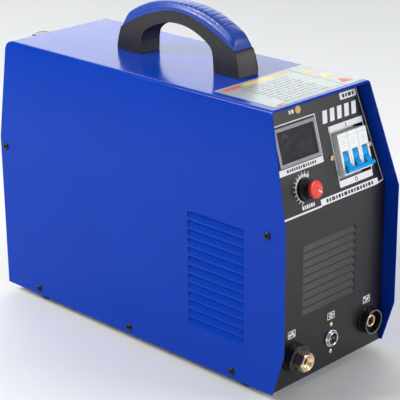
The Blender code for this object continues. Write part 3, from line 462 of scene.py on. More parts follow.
def band(start, end, width, start_width=None):
    """A straight bar from start to end."""
    a, b = Vector(start), Vector(end)
    side = (b - a).normalized().orthogonal()
    w0 = (width if start_width is None else start_width) / 2
    w1 = width / 2
    return [tuple(a - side * w0), tuple(b - side * w1), tuple(b + side * w1), tuple(a + side * w0)]


def arc(cx, cy, inner, outer, low, high, count=10):
    """Part of a ring between two angles, in degrees."""
    points = []
    for radius, steps in ((outer, range(count + 1)), (inner, range(count, -1, -1))):
        for i in steps:
            angle = math.radians(low + (high - low) * i / count)
            points.append((cx + radius * math.cos(angle), cy + radius * math.sin(angle)))
    return points


INK = 0.00007


def printed(name, shapes, mat, where, lift=0.00012, **rest):
    """Screen printing: flat shapes standing a hair above a face."""
    bm = bmesh.new()
    for points in shapes:
        add_plate(bm, points, lift - INK, lift)
    return piece(name, bm, mat, where=where, **rest)


def frame_lines(x0, y0, x1, y1, width):
    """Four bars round an oblong."""
    w = width / 2
    return [oblong(x0 - w, y0 - w, x1 + w, y0 + w), oblong(x0 - w, y1 - w, x1 + w, y1 + w),
            oblong(x0 - w, y0, x0 + w, y1), oblong(x1 - w, y0, x1 + w, y1)]


def dashes(x0, x1, y0, y1, widths, gap):
    """A row of plain bars, which stands for a caption without being lettering."""
    total = sum(widths) + gap * (len(widths) - 1)
    x = (x0 + x1 - total) / 2
    shapes = []
    for width in widths:
        shapes.append(oblong(x, y0, x + width, y1, min(width, y1 - y0) * 0.25, 2))
        x += width + gap
    return shapes


def wire(name, points, radius, mat, body="case", where=CASE, stands_for=(), sides=3):
    curve = bpy.data.curves.new(name, "CURVE")
    curve.dimensions = "3D"
    curve.bevel_depth = radius
    curve.bevel_resolution = sides
    curve.use_fill_caps = True
    spline = curve.splines.new("POLY")
    spline.points.add(len(points) - 1)
    for point, co in zip(spline.points, points):
        point.co = (*co, 1)
    spline.use_smooth = True
    curve.materials.append(mat)
    return carried(name, curve, body, where, stands_for)


# ---------------------------------------------------------------- CAD nodes that stay

# Material, bevel width, bevel segments, least fold in degrees, and the nodes
KEPT_NODES = (
    (BLUE, 0.00035, 2, 28, ("cover",)),
    (BLACK_PAINT, 0.00030, 2, 28, ("front_panel", "rear_panel", "regulator_bracket")),
    (ZINC, 0.00020, 1, 28, ("base_tray", "component_shelf", "potentiometer")),
    (GREY_MOULD, 0.00035, 2, 28, ("meter_bezel",)),
    (SHADE_DARKENED_ALUMINIUM, 0.00035, 2, 28, ("heatsink",)),
    (FERRITE, 0.00035, 2, 28, ("transformer_core",)),
    (BLACK_MOULD, 0.00035, 2, 28, ("fan_frame",)),
    (BOARD, 0.00035, 2, 28, ("control_board",)),
    (WHITE_MOULD, 0.00040, 2, 28, ("breaker_body",)),
    (COPPER, 0.00015, 1, 32, ("transformer_winding",)),
    (BLACK_GLOSS, 0.00015, 1, 32, ("bus_capacitor",)),
    (BRASS, 0.00015, 1, 32, ("control_pin_l", "control_pin_r", "work_socket_sleeve")),
    (RED_MOULD, 0.00015, 1, 32, ("gauge_needle",)),
    (CLEAR, 0.00015, 1, 32, ("gauge_lens", "filter_bowl")),
)
for kept_mat, edge_width, edge_segments, fold, kept_names in KEPT_NODES:
    for kept_name in kept_names:
        dress(kept_name, kept_mat)
        soften(kept_name, edge_width, edge_segments, fold)
for folded in ("cover", "front_panel"):
    crisp_folds(folded)


# ---------------------------------------------------------------- handle

def handle_split(u):
    return 0.4060 - 0.0340 * (min(abs(u), 0.099) / 0.099) ** 1.75


def handle_crest(u):
    return 0.4185 - 0.0300 * (min(abs(u), 0.097) / 0.097) ** 2.3


def handle_width(z):
    return HANDLE_HALF * (1 - 0.16 * min(max((z - HEIGHT) / 0.060, 0.0), 1.0))


def handle_cap():
    """The blue cap: a crowned strip with grip ribs across it, a crease along each side and an oval pad."""
    bm = bmesh.new()
    stations = 250
    reach = 0.0970
    section = [(-1.0, 0.0), (-1.0, 0.16), (-0.995, 0.34), (-0.975, 0.44), (-0.930, 0.50), (-0.885, 0.56),
               (-0.845, 0.70), (-0.79, 0.82), (-0.70, 0.905), (-0.55, 0.955), (-0.36, 0.985), (-0.18, 0.997),
               (0.0, 1.0)]
    section += [(-x, h) for x, h in section[-2::-1]]
    rows = []
    for i in range(stations + 1):
        u = -reach + 2 * reach * i / stations
        seam = handle_split(u) + 0.0003
        crest = handle_crest(u) - 0.00005
        left = reach - abs(u)
        if left < 0.0100:
            drop = 1 - math.sqrt(max(0.0, 1 - (1 - left / 0.0100) ** 2))
            crest -= (crest - seam) * 0.72 * drop
        row = []
        for x, h in section:
            z = seam + (crest - seam) * h
            if abs(u) < 0.073 and h > 0.6:
                phase = (u / 0.0086) % 1.0
                rib = max(0.0, math.cos(2 * math.pi * (phase - 0.5))) ** 3
                z -= 0.0005 * rib * min(1.0, (h - 0.6) / 0.25)
            oval = ((u + 0.0840) / 0.0085) ** 2 + (x * HANDLE_HALF / 0.0088) ** 2
            if h > 0.85 and oval < 1.35:
                z -= 0.0007 * min(1.0, max(0.0, (1.35 - oval) / 0.2))
                if oval < 0.75:
                    z += 0.0005 * min(1.0, (0.75 - oval) / 0.2)
            row.append(bm.verts.new((x * handle_width(z), HANDLE_AT + u, z)))
        rows.append(row)
    for a, b in zip(rows, rows[1:]):
        for j in range(len(section) - 1):
            bm.faces.new((a[j], a[j + 1], b[j + 1], b[j]))
        bm.faces.new((a[-1], a[0], b[0], b[-1]))
    bm.faces.new(rows[0])
    bm.faces.new(rows[-1][::-1])
    piece("handle_cap_moulded", bm, BLUE_MOULD, degrees=48, stands_for=("handle_cap",), slot="blue_plastic")


def handle_body():
    """The black arch and its two legs, with finger ripples under the arch."""
    foot = HEIGHT + 0.0003
    outer = []
    for i in range(61):
        u = 0.099 * i / 60
        outer.append((u, handle_split(u)))
    outer += [(0.1015, 0.3655), (0.1035, 0.3580), (0.1052, 0.3500), (0.1065, foot)]
    under = []
    count = 170
    for i in range(count + 1):
        u = 0.0545 * i / count
        z = 0.3940 - 0.0165 * (u / 0.0545) ** 2.1
        z -= 0.00055 * (0.5 - 0.5 * math.cos(2 * math.pi * u / 0.0046)) * min(1.0, (0.0560 - u) / 0.006)
        under.append((u, z))
    under += [(0.0600, 0.3725), (0.0620, 0.3690), (0.0635, 0.3650), (0.0645, 0.3600), (0.0650, 0.3550),
              (0.0652, foot)]
    loop = [(-u, z) for u, z in reversed(outer)] + outer[1:]
    loop += [(u, z) for u, z in reversed(under)] + [(-u, z) for u, z in under[1:]]
    bm = bmesh.new()
    slices = []
    fronts = [(-1.0, 0.0013), (-0.985, 0.0004), (-0.93, 0.0), (0.93, 0.0), (0.985, 0.0004), (1.0, 0.0013)]
    for x, shrink in fronts:
        ring = []
        for k, (u, z) in enumerate(loop):
            before = Vector(loop[k - 1])
            after = Vector(loop[(k + 1) % len(loop)])
            normal = (after - before).normalized().orthogonal()
            moved = Vector((u, z)) + normal * shrink
            moved.y = max(moved.y, foot)
            width = handle_width(moved.y)
            ring.append(bm.verts.new((x * width, HANDLE_AT + moved.x, moved.y)))
        slices.append(ring)
    for a, b in zip(slices, slices[1:]):
        for k in range(len(loop)):
            j = (k + 1) % len(loop)
            bm.faces.new((a[k], a[j], b[j], b[k]))
    bm.faces.new(slices[0][::-1])
    bm.faces.new(slices[-1])
    piece("handle_body_moulded", bm, BLACK_MOULD, degrees=40, stands_for=("handle_body",),
          slot="black_plastic")


handle_cap()
handle_body()


# ---------------------------------------------------------------- printing on the panel

def panel_print():
    """Lines, caption bars and dial marks in white ink. The captions are plain bars, not lettering."""
    white = [oblong(*size) for size in (
        (-0.0790, 0.1068, 0.0016, 0.1082), (0.0006, 0.0520, 0.0018, 0.1082),
        (-0.0795, 0.0500, 0.0018, 0.0574, 0.001, 3), (0.0200, 0.0800, 0.0825, 0.0872, 0.001, 3),
        (0.0220, 0.0128, 0.0830, 0.0208, 0.001, 3), (0.0210, 0.0130, 0.0220, 0.0872),
        (0.0823, 0.0130, 0.0833, 0.0872), (-0.0170, 0.0006, 0.0900, 0.0086, 0.001, 3),
        (0.0507, 0.1130, 0.0807, 0.1212, 0.001, 3), (-0.1000, -0.0002, -0.0165, 0.0020))]
    white += [band((0.1000, 0.0030), (0.0817, 0.1240), 0.0012),
              band((0.0880, 0.0016), (0.1002, 0.0036), 0.0018)]
    for i in range(5):
        x = 0.0125 + i * 0.0134
        white.append([(x, 0.0925), (x + 0.0082, 0.0925), (x + 0.0115, 0.1075), (x + 0.0033, 0.1075)])
    white += dashes(-0.0420, -0.0310, 0.1160, 0.1205, [0.0030, 0.0042], 0.0012)
    kx, ks = KNOB
    for i, angle in enumerate(range(62, 239, 16)):
        grow = 0.0014 + 0.0026 * (1 - i / 11)
        white.append(arc(kx, ks, 0.0150, 0.0150 + grow, angle - 6.6, angle + 6.6, 5))
        a = math.radians(angle)
        tip = Vector((math.cos(a), math.sin(a)))
        start = Vector((kx, ks)) + tip * (0.0157 + grow)
        white.append(band(tuple(start), tuple(start + tip * 0.0022), 0.0010))
    white += dashes(kx - 0.0145, kx + 0.0135, 0.0045, 0.0092,
                    [0.0028, 0.0022, 0.0034, 0.0020, 0.0030, 0.0024], 0.0012)
    printed("panel_marks_white", white, INK_WHITE, SLOPE, slot="white_plastic")

    dark = dashes(METER[0] - 0.034, METER[0] + 0.036, 0.0520, 0.0556,
                  [0.0034, 0.0022, 0.0028, 0.0022, 0.0026, 0.0030, 0.0020, 0.0040, 0.0022, 0.0026,
                   0.0022, 0.0030, 0.0024], 0.0014)
    dark.append(oblong(0.0508, 0.0812, 0.0520, 0.0860))
    dark += [arc(0.0520, 0.0168, 0.0016, 0.0026, start, start + 180, 12) for start in (-90, 90)]
    dark += dashes(-0.0150, 0.0880, 0.0024, 0.0068,
                   [0.0040, 0.0030, 0.0058, 0.0028, 0.0046, 0.0030, 0.0060, 0.0034, 0.0044, 0.0030, 0.0052,
                    0.0036, 0.0042, 0.0028, 0.0050, 0.0030], 0.0016)
    dark += dashes(0.0520, 0.0796, 0.1148, 0.1194, [0.0046, 0.0030, 0.0058, 0.0034], 0.0016)
    printed("panel_marks_dark", dark, INK_DARK, SLOPE, lift=0.00020, slot="black_plastic")

    printed("panel_mark_gold", [ring_points(-0.0245, 0.1185, 0.0046, 30)], INK_GOLD, SLOPE, slot="brass")


def panel_pictograms():
    """Outlined pictograms of a torch, a plug and a clamp, above the three sockets."""
    white = []
    for cx, cz in ((-0.0680, 0.0660), (0.0045, 0.0660), (0.0733, 0.0651)):
        white += frame_lines(cx - 0.0062, cz - 0.0042, cx + 0.0062, cz + 0.0042, 0.0010)
    cx, cz = -0.0680, 0.0660
    white.append(band((cx - 0.0048, cz - 0.0012), (cx + 0.0020, cz + 0.0014), 0.0034))
    white.append(band((cx + 0.0012, cz + 0.0034), (cx + 0.0044, cz - 0.0034), 0.0030, 0.0020))
    cx, cz = 0.0045, 0.0660
    white += [arc(cx, cz, 0.0014, 0.0031, 0, 180, 12), arc(cx, cz, 0.0014, 0.0031, 180, 360, 12)]
    white.append(band((cx + 0.0026, cz), (cx + 0.0056, cz + 0.0010), 0.0014))
    cx, cz = 0.0733, 0.0651
    white.append([(cx - 0.0050, cz - 0.0034), (cx + 0.0046, cz + 0.0036), (cx + 0.0036, cz - 0.0016)])
    white.append(band((cx - 0.0004, cz + 0.0012), (cx - 0.0048, cz + 0.0032), 0.0018))
    printed("socket_marks", white, INK_WHITE, UPRIGHT, slot="white_plastic")


panel_print()
panel_pictograms()


# ---------------------------------------------------------------- meter

def meter():
    x, s = METER
    where = at(SLOPE, x, s)
    bm = bmesh.new()
    add_plate(bm, oblong(-0.0317, -0.0181, 0.0317, 0.0181, 0.0010, 4), -0.0011, 0.0011, 0.0004)
    piece("meter_window_lens", bm, DARK_WINDOW, where=where, stands_for=("meter_window",),
          slot="smoked_window")
    faint = []
    for k in range(3):
        left = -0.0215 + k * 0.0148
        for dx, dy, horizontal in ((0, 0.0118, 1), (0, 0.0, 1), (0, -0.0118, 1), (-0.0052, 0.0059, 0),
                                   (0.0052, 0.0059, 0), (-0.0052, -0.0059, 0), (0.0052, -0.0059, 0)):
            cx = left + dx + dy * 0.10
            if horizontal:
                faint.append(oblong(cx - 0.0042, dy - 0.0009, cx + 0.0042, dy + 0.0009, 0.0007, 2))
            else:
                faint.append(oblong(cx - 0.0009, dy - 0.0048, cx + 0.0009, dy + 0.0048, 0.0007, 2))
    printed("meter_segments", faint, SEGMENT, where, lift=0.00122, slot="smoked_window")


meter()


# ---------------------------------------------------------------- current knob

def current_knob():
    where = at(SLOPE, *KNOB)
    flutes = fluted(24, 0.00055, 0.8, 0.0040, 0.0136, 0.010)
    turned("current_knob_fluted",
           [(0, 0.0138), (0.0108, 0.0138), (0.0113, 0.0132), (0.01165, 0.0090), (0.0117, 0.0048),
            (0.0122, 0.0040), (0.0129, 0.0034), (0.0130, 0.0012), (0.0126, 0.0008), (0.0030, 0.0008),
            (0.0030, -0.0085), (0, -0.0085)],
           BLACK_GLOSS, 144, 0.0003, flutes, body="current_dial", where=where, degrees=40,
           stands_for=("current_knob",), slot="black_plastic")
    turned("current_knob_red_cap",
           [(0, 0.0180), (0.0060, 0.0181), (0.0088, 0.0183), (0.0103, 0.0178), (0.0109, 0.0168),
            (0.0111, 0.0147), (0.0108, 0.0141), (0, 0.0141)], RED_MOULD, 96, 0.0004,
           body="current_dial", where=where, stands_for=("current_knob_cap",), slot="red_plastic")
    aim = Matrix.Rotation(math.radians(-38), 4, "Z")
    bm = bmesh.new()
    add_plate(bm, oblong(0.0030, -0.0007, 0.0098, 0.0007, 0.0005, 3), 0.0176, 0.01838, 0.0001)
    piece("current_knob_pointer", bm, INK_WHITE, body="current_dial", where=where @ aim, slot="white_plastic")


current_knob()


# ---------------------------------------------------------------- breaker

def breaker():
    where = at(SLOPE, *BREAKER)
    face = BREAKER_FACE + 0.00008
    seams = [oblong(c - 0.00025, -0.0246, c + 0.00025, 0.0246) for c in (-0.009, 0.009)]
    printed("breaker_seams", seams, INK_GREY, where, lift=face, slot="grey_plastic")
    printed("breaker_marks", [oblong(-0.0200, 0.0198, 0.0240, 0.0204)], INK_GREEN, where, lift=face,
            slot="cyan_plastic")
    grey = []
    for c in POLES:
        for k, width in enumerate((0.0052, 0.0074, 0.0046)):
            y = 0.0148 - k * 0.0030
            grey.append(oblong(c - width / 2, y, c + width / 2, y + 0.0008))
    printed("breaker_notes", grey, INK_PALE, where, lift=face, slot="grey_plastic")

    lever = at(where, 0, *TOGGLE_PIVOT)
    down = Matrix.Rotation(math.radians(45), 4, "X")
    stand = Matrix(((0, 0, 1, 0), (1, 0, 0, 0), (0, 1, 0, 0), (0, 0, 0, 1)))
    across = Matrix.Rotation(math.radians(90), 4, "Y")
    bm = bmesh.new()
    verts = add_turned(bm, [(0, -0.0226), (0.0024, -0.0226), (0.0024, 0.0226), (0, 0.0226)], 32, 0.0003)
    bmesh.ops.transform(bm, matrix=across, verts=verts)
    side = [(-0.0042, 0.0010), (0.0040, 0.0010), (0.0042, 0.0090), (0.0041, 0.0130), (0.0036, 0.0160),
            (0.0027, 0.0182), (0.0012, 0.0190), (-0.0030, 0.0190), (-0.0042, 0.0170)]
    bar = oblong(-0.0024, TOGGLE_REACH - 0.0024, 0.0024, TOGGLE_REACH + 0.0022, 0.0012, 4)
    for c in POLES:
        verts = add_turned(bm, [(0, c - 0.0047), (0.0094, c - 0.0047), (0.0094, c + 0.0047), (0, c + 0.0047)],
                           56, 0.0008)
        bmesh.ops.transform(bm, matrix=across, verts=verts)
        verts = add_plate(bm, side, c - 0.0043, c + 0.0043, 0.0006)
        bmesh.ops.transform(bm, matrix=down @ stand, verts=verts)
    verts = add_plate(bm, bar, -0.0255, 0.0255, 0.0006)
    bmesh.ops.transform(bm, matrix=down @ stand, verts=verts)
    piece("breaker_levers", bm, CYAN_MOULD, body="breaker_lever", where=lever, degrees=30,
          stands_for=("breaker_toggle",), slot="cyan_plastic")
    for tag, side in (("l", -0.0362), ("r", 0.0362)):
        slotted(f"breaker_screw_{tag}", at(where, side, 0), 0.0035, 0.0026, 0.0095)


def slotted(node, where, head, rise, depth):
    """A cheese-head screw with a cross slot pressed into it."""
    obj = turned(f"{node}_head",
                 [(0, rise), (head * 0.55, rise * 0.96), (head * 0.86, rise * 0.72), (head, rise * 0.34),
                  (head, 0.0003), (head * 0.54, 0.0003), (head * 0.54, -depth), (0, -depth)],
                 BRASS, 40, 0.0003, where=where, stands_for=(node,), slot="brass")
    cuts = bmesh.new()
    for turn in (20, 110):
        groove = oblong(-head * 0.66, -0.00042, head * 0.66, 0.00042)
        verts = add_plate(cuts, groove, rise * 0.45, rise + 0.001)
        bmesh.ops.transform(cuts, matrix=Matrix.Rotation(math.radians(turn), 4, "Z"), verts=verts)
    cross_cut(obj, cuts, where)
    return obj


def cross_cut(obj, cuts, where):
    """Cuts a mesh out of a piece for good, and takes the cutter away."""
    bmesh.ops.recalc_face_normals(cuts, faces=cuts.faces)
    mesh = bpy.data.meshes.new("cutter")
    cuts.to_mesh(mesh)
    cuts.free()
    tool = placed("cutter", mesh, where)
    step = obj.modifiers.new("cut", "BOOLEAN")
    step.operation = "DIFFERENCE"
    step.solver = "EXACT"
    step.use_self = True
    step.object = tool
    bpy.context.view_layer.update()
    result = bpy.data.meshes.new_from_object(obj.evaluated_get(bpy.context.evaluated_depsgraph_get()))
    obj.modifiers.clear()
    obj.data = result
    obj.data.shade_smooth()
    obj.data.set_sharp_from_angle(angle=math.radians(32))
    flat_shading(obj)
    bpy.data.objects.remove(tool, do_unlink=True)


breaker()


# ---------------------------------------------------------------- sockets

def torch_outlet():
    where = at(UPRIGHT, *TORCH_AT)
    turned("torch_boss",
           [(0.0070, 0.0130), (0.0150, 0.0130), (0.0172, 0.0122), (0.0180, 0.0104), (0.0181, 0.0076),
            (0.0179, 0.0074), (0.0179, 0.0066), (0.0182, 0.0064), (0.0183, 0.0036), (0.0181, 0.0034),
            (0.0181, 0.0026), (0.0184, 0.0024), (0.0185, 0.0003), (0.0140, 0.0003), (0.0140, -0.0120),
            (0.0070, -0.0120), (0.0070, 0.0130)],
           BLACK_GLOSS, 96, 0.0003, where=where, stands_for=("torch_insulator",), slot="black_plastic")
    lead = 0.0009
    profile = [(0.0036, -0.0240), (0.0045, -0.0240), (0.0046, -0.0165), (0.0060, -0.0165), (0.0064, -0.0160),
               (0.0065, 0.0133), (0.0112, 0.0133), (0.0126, 0.0139), (0.0127, 0.0190), (0.0127, 0.0232),
               (0.0122, 0.0238), (0.0106, 0.0250), (0.0090, 0.0250), (0.0083, 0.0247)]
    z = 0.0240
    r = 0.0079
    while r > 0.0044:
        profile += [(r, z), (r - 0.00045, z - 0.00035)]
        r -= 0.00042
        z -= lead * 0.45
    profile += [(0.0038, 0.0196), (0.0036, 0.0190), (0.0036, -0.0240)]
    turned("torch_hexagon", profile, BRASS, 120, 0.00015, six_sided(0.0110, 0.0132, 0.0300, 0.0098),
           where=where, degrees=24, stands_for=("torch_fitting",), slot="brass")


def control_socket():
    where = at(UPRIGHT, *CONTROL_AT)

    def key(angle, r, z):
        turn = (angle - math.radians(90) + math.pi) % (2 * math.pi) - math.pi
        if z > 0.0031 and 0.0085 < r and abs(turn) < 0.24:
            return r - 0.0008
        return r

    profile = [(0.0070, -0.0090), (0.0089, -0.0090), (0.0089, 0.0003), (0.0112, 0.0003), (0.0112, 0.0023),
               (0.0106, 0.0030), (0.0092, 0.0031)]
    z = 0.0033
    while z < 0.0047:
        profile += [(0.0093, z), (0.00905, z + 0.00024)]
        z += 0.00048
    profile += [(0.0090, 0.0052), (0.0084, 0.0057), (0.0076, 0.0057), (0.0070, 0.0052), (0.0070, -0.0090)]
    turned("control_ring", profile, CHROME, 96, 0.00014, key, where=where, degrees=28,
           stands_for=("control_socket_shell",), slot="chrome")
    obj = turned("control_insert",
                 [(0, 0.0006), (0.0016, 0.0006), (0.0018, 0.0012), (0.0060, 0.0012), (0.0067, 0.0006),
                  (0.0067, -0.0120), (0, -0.0120)],
                 BLACK_MOULD, 64, 0.0002, where=where, stands_for=("control_socket_insert",),
                 slot="black_plastic")
    cuts = bmesh.new()
    for side in PIN_OFFSETS:
        add_plate(cuts, ring_points(side, 0, 0.0013, 24), -0.0140, 0.0050)
    add_plate(cuts, oblong(-0.0010, 0.0048, 0.0010, 0.0080), -0.0020, 0.0050)
    cross_cut(obj, cuts, where)
    for tag, rise in (("top", CONTROL_SCREW_RISE), ("bottom", -CONTROL_SCREW_RISE)):
        slotted(f"control_screw_{tag}", at(where, 0, rise), 0.0030, 0.0022, 0.0060)


def work_socket():
    where = at(UPRIGHT, *WORK_AT)
    ears = fluted(18, 0.0004, 3, 0.0012, 0.0090, 0.0160)
    turned("work_socket_shell",
           [(0.0089, -0.0140), (0.0118, -0.0140), (0.0118, 0.0003), (0.0174, 0.0003), (0.0174, 0.0010),
            (0.0169, 0.0017), (0.0168, 0.0094), (0.0166, 0.0102), (0.0159, 0.0109), (0.0149, 0.0110),
            (0.0142, 0.0107), (0.0141, 0.0024), (0.0089, 0.0024), (0.0089, -0.0140)],
           BLACK_GLOSS, 144, 0.0003, ears, where=where, degrees=30, stands_for=("work_socket_body",),
           slot="black_plastic")
    # A thin pale grey ring on the socket's front lip: a painted highlight of its rim edge.
    turned("work_socket_rim_highlight",
           [(0.01445, 0.01075), (0.01470, 0.01105), (0.01550, 0.01105), (0.01575, 0.01075)],
           RIM_HIGHLIGHT, 96, 0.0001, where=where, slot="grey_plastic")


torch_outlet()
control_socket()
work_socket()


# ---------------------------------------------------------------- case screws and feet

def case_screws():
    for side, tag in ((-1, "l"), (1, "r")):
        for i, (y, z) in enumerate(SCREWS):
            where = face_frame((side * HALF, y, z), (side, 0, 0))
            name = f"case_screw_{tag}{i + 1}"
            obj = turned(f"{name}_head",
                         [(0, 0.0029), (0.0016, 0.0028), (0.0032, 0.0023), (0.0044, 0.0015), (0.0050, 0.0007),
                          (0.0050, 0.0003), (0.0021, 0.0003), (0.0021, -0.0055), (0, -0.0055)],
                         SCREW_BLACK, 40, 0.0004, where=where, stands_for=(name,), slot="black_screw")
            cuts = bmesh.new()
            add_plate(cuts, ring_points(0, 0, 0.0020, 6), 0.0009, 0.0050)
            cross_cut(obj, cuts, where)


def feet():
    for tag in ("fl", "fr", "rl", "rr"):
        low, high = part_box(f"foot_{tag}")
        middle = (low + high) / 2
        where = Matrix.Translation((middle.x, middle.y, high.z - 0.0019))
        turned(f"foot_{tag}_rubber",
               [(0, 0.0019), (0.0138, 0.0019), (0.0142, 0.0014), (0.0136, -0.0050), (0.0134, -0.0056),
                (0.0131, -0.0080), (0.0128, -0.0108), (0.0116, -0.0120), (0.0048, -0.0120), (0.0046, -0.0115),
                (0.0046, -0.0072), (0, -0.0070)], RUBBER, 64, 0.0004, where=where,
               stands_for=(f"foot_{tag}",), slot="rubber")


case_screws()
feet()


# ---------------------------------------------------------------- label on the top

def top_label():
    """A pale label film with faint rules and plain coloured marks, and no lettering."""
    where = at(CASE, 0, 0, HEIGHT)
    bm = bmesh.new()
    add_plate(bm, oblong(-0.0740, 0.0430, 0.0840, 0.1400, 0.0030, 5), 0.00004, 0.00022)
    piece("top_label_film", bm, PAPER, where=where, slot="white_plastic")
    grey = []
    for row in range(10):
        y = 0.0520 + row * 0.0072
        widths = [0.0110 + 0.0040 * math.sin(2.1 * row + 1.7 * k) for k in range(6)]
        grey += dashes(-0.0690, 0.0500, y, y + 0.0017, widths, 0.0022)
    grey.append(oblong(-0.0700, 0.0480, 0.0500, 0.0485))
    grey.append(oblong(0.0520, 0.0470, 0.0525, 0.1360))
    printed("top_label_rules", grey, INK_DIM, where, lift=0.00030, slot="grey_plastic")
    printed("top_label_red", [oblong(-0.0690, 0.0445, -0.0560, 0.0475, 0.001, 3),
                              oblong(-0.0660, 0.1270, -0.0380, 0.1345, 0.001, 3),
                              [(0.0560, 0.0520), (0.0760, 0.0520), (0.0660, 0.0690)]],
            INK_RED, where, lift=0.00030, slot="red_plastic")
    printed("top_label_gold", [oblong(-0.0330, 0.1270, 0.0400, 0.1345, 0.001, 3),
                               [(0.0560, 0.0800), (0.0760, 0.0800), (0.0660, 0.0970)],
                               [(0.0560, 0.1080), (0.0760, 0.1080), (0.0660, 0.1250)]],
            INK_GOLD, where, lift=0.00030, slot="brass")


top_label()


# ---------------------------------------------------------------- fan

def fan():
    face = -CHASSIS_SHEET - GAP
    where = at(REAR, 0, FAN_Z, 0)
    spin = at(where, 0, 0, face - 0.0125)
    bm = bmesh.new()
    add_turned(bm, [(0, -0.0079), (0.0180, -0.0079), (0.0192, -0.0073), (0.0195, -0.0060), (0.0195, 0.0098),
                    (0.0190, 0.0110), (0.0176, 0.0115), (0, 0.0115)], 72, 0.0005)
    add_turned(bm, [(0, -0.0106), (0.0030, -0.0106), (0.0030, -0.0070), (0, -0.0070)], 32, 0.0002)
    for i in range(7):
        base = 2 * math.pi * i / 7
        grid = []
        for j in range(13):
            r = 0.0188 + (0.0538 - 0.0188) * j / 12
            row = []
            for k in range(9):
                t = k / 8 - 0.5
                pitch = math.radians(34 - 8 * j / 12)
                chord = 0.0190 - 0.0010 * j / 12
                along = chord * t
                swing = base + 0.10 * (j / 12) + (along * math.cos(pitch)) / max(r, 0.022)
                lift = 0.0018 + along * math.sin(pitch) + 0.0012 * (1 - (2 * t) ** 2)
                row.append((r * math.cos(swing), r * math.sin(swing), lift))
            grid.append(row)
        top = [[bm.verts.new((x, y, z + 0.0005)) for x, y, z in row] for row in grid]
        low = [[bm.verts.new((x, y, z - 0.0005)) for x, y, z in row] for row in grid]
        for j in range(12):
            for k in range(8):
                bm.faces.new((top[j][k], top[j + 1][k], top[j + 1][k + 1], top[j][k + 1]))
                bm.faces.new((low[j][k], low[j][k + 1], low[j + 1][k + 1], low[j + 1][k]))
            for k in (0, 8):
                bm.faces.new((top[j][k], low[j][k], low[j + 1][k], top[j + 1][k]))
        for j in (0, 12):
            for k in range(8):
                bm.faces.new((top[j][k], top[j][k + 1], low[j][k + 1], low[j][k]))
    piece("fan_blades", bm, BLACK_MOULD, body="fan", where=spin, degrees=35, stands_for=("fan_rotor",),
          slot="black_plastic")
    printed("fan_hub_disc", [ring_points(0, 0, 0.0130, 48)], INK_GREY, spin, lift=0.01162, body="fan",
            slot="grey_plastic")

    rings = [0.011, 0.018, 0.0252, 0.0322, 0.0392, 0.0462, 0.0532]
    bm = bmesh.new()
    for radius in rings:
        add_torus(bm, radius, 0.0009, 0.0041)
    for turn in (45, 135):
        spoke(bm, turn, 0.0560, 0.0026, 0.0012)
    for turn in (45, 135, 225, 315):
        a = math.radians(turn)
        add_torus(bm, 0.0034, 0.0012, 0.0016, centre=(0.0595 * math.cos(a), 0.0595 * math.sin(a)), count=24)
    piece("fan_guard_wires", bm, WIRE, where=where, degrees=60, stands_for=("fan_guard",), slot="wire_steel")


def add_torus(bm, major, minor, height, centre=(0, 0), count=96, sides=10):
    rings = []
    for i in range(count):
        a = 2 * math.pi * i / count
        ring = []
        for j in range(sides):
            b = 2 * math.pi * j / sides
            r = major + minor * math.cos(b)
            ring.append(bm.verts.new((centre[0] + r * math.cos(a), centre[1] + r * math.sin(a),
                                      height + minor * math.sin(b))))
        rings.append(ring)
    for i in range(count):
        for j in range(sides):
            bm.faces.new((rings[i][j], rings[(i + 1) % count][j], rings[(i + 1) % count][(j + 1) % sides],
                          rings[i][(j + 1) % sides]))


def spoke(bm, turn, reach, height, radius, sides=12):
    """A straight wire across the guard, lying against its rings."""
    a = math.radians(turn)
    along = Vector((math.cos(a), math.sin(a), 0))
    side = Vector((-math.sin(a), math.cos(a), 0))
    ends = []
    for k in (-1, 1):
        ring = []
        for j in range(sides):
            b = 2 * math.pi * j / sides
            ring.append(bm.verts.new(along * reach * k + side * radius * math.cos(b)
                                     + Vector((0, 0, height + radius * math.sin(b)))))
        ends.append(ring)
    for j in range(sides):
        bm.faces.new((ends[0][j], ends[1][j], ends[1][(j + 1) % sides], ends[0][(j + 1) % sides]))
    bm.faces.new(ends[0])
    bm.faces.new(ends[1][::-1])


# ---------------------------------------------------------------- gland and earth stud

def rear_fittings():
    where = at(REAR, -0.066, 0.205)
    flats = six_sided(0.01195, 0.0003, 0.0082, 0.0120)
    grip = fluted(20, 0.0005, 2, 0.0088, 0.0200, 0.0105)

    def nut(angle, r, z):
        return grip(angle, flats(angle, r, z), z)

    turned("mains_gland",
           [(0.0055, -0.0110), (0.0096, -0.0110), (0.0096, 0.0003), (0.0138, 0.0003), (0.0138, 0.0010),
            (0.0138, 0.0074), (0.0132, 0.0081), (0.0117, 0.0084), (0.0117, 0.0090), (0.0118, 0.0120),
            (0.0112, 0.0188), (0.0096, 0.0238), (0.0078, 0.0260), (0.0060, 0.0260), (0.0055, 0.0254),
            (0.0055, -0.0110)],
           BLACK_MOULD, 120, 0.0004, nut, where=where, degrees=28, stands_for=("cable_gland",),
           slot="black_plastic")

    where = at(REAR, 0.075, 0.026)
    profile = [(0, -0.0120), (0.0026, -0.0120), (0.0030, -0.0116), (0.0030, 0.0003), (0.0068, 0.0003),
               (0.0068, 0.0014), (0.0058, 0.0016), (0.0058, 0.0058), (0.0052, 0.0062), (0.0030, 0.0062)]
    z = 0.0064
    while z < 0.0140:
        profile += [(0.0030, z), (0.0026, z + 0.00025)]
        z += 0.0005
    profile += [(0.0028, 0.0145), (0.0024, 0.0150), (0, 0.0150)]
    turned("earth_terminal", profile, BRASS_DULL, 60, 0.0001, six_sided(0.00502, 0.0016, 0.0063, 0.0045),
           where=where, degrees=28, stands_for=("earth_stud",), slot="brass")


# ---------------------------------------------------------------- filter regulator

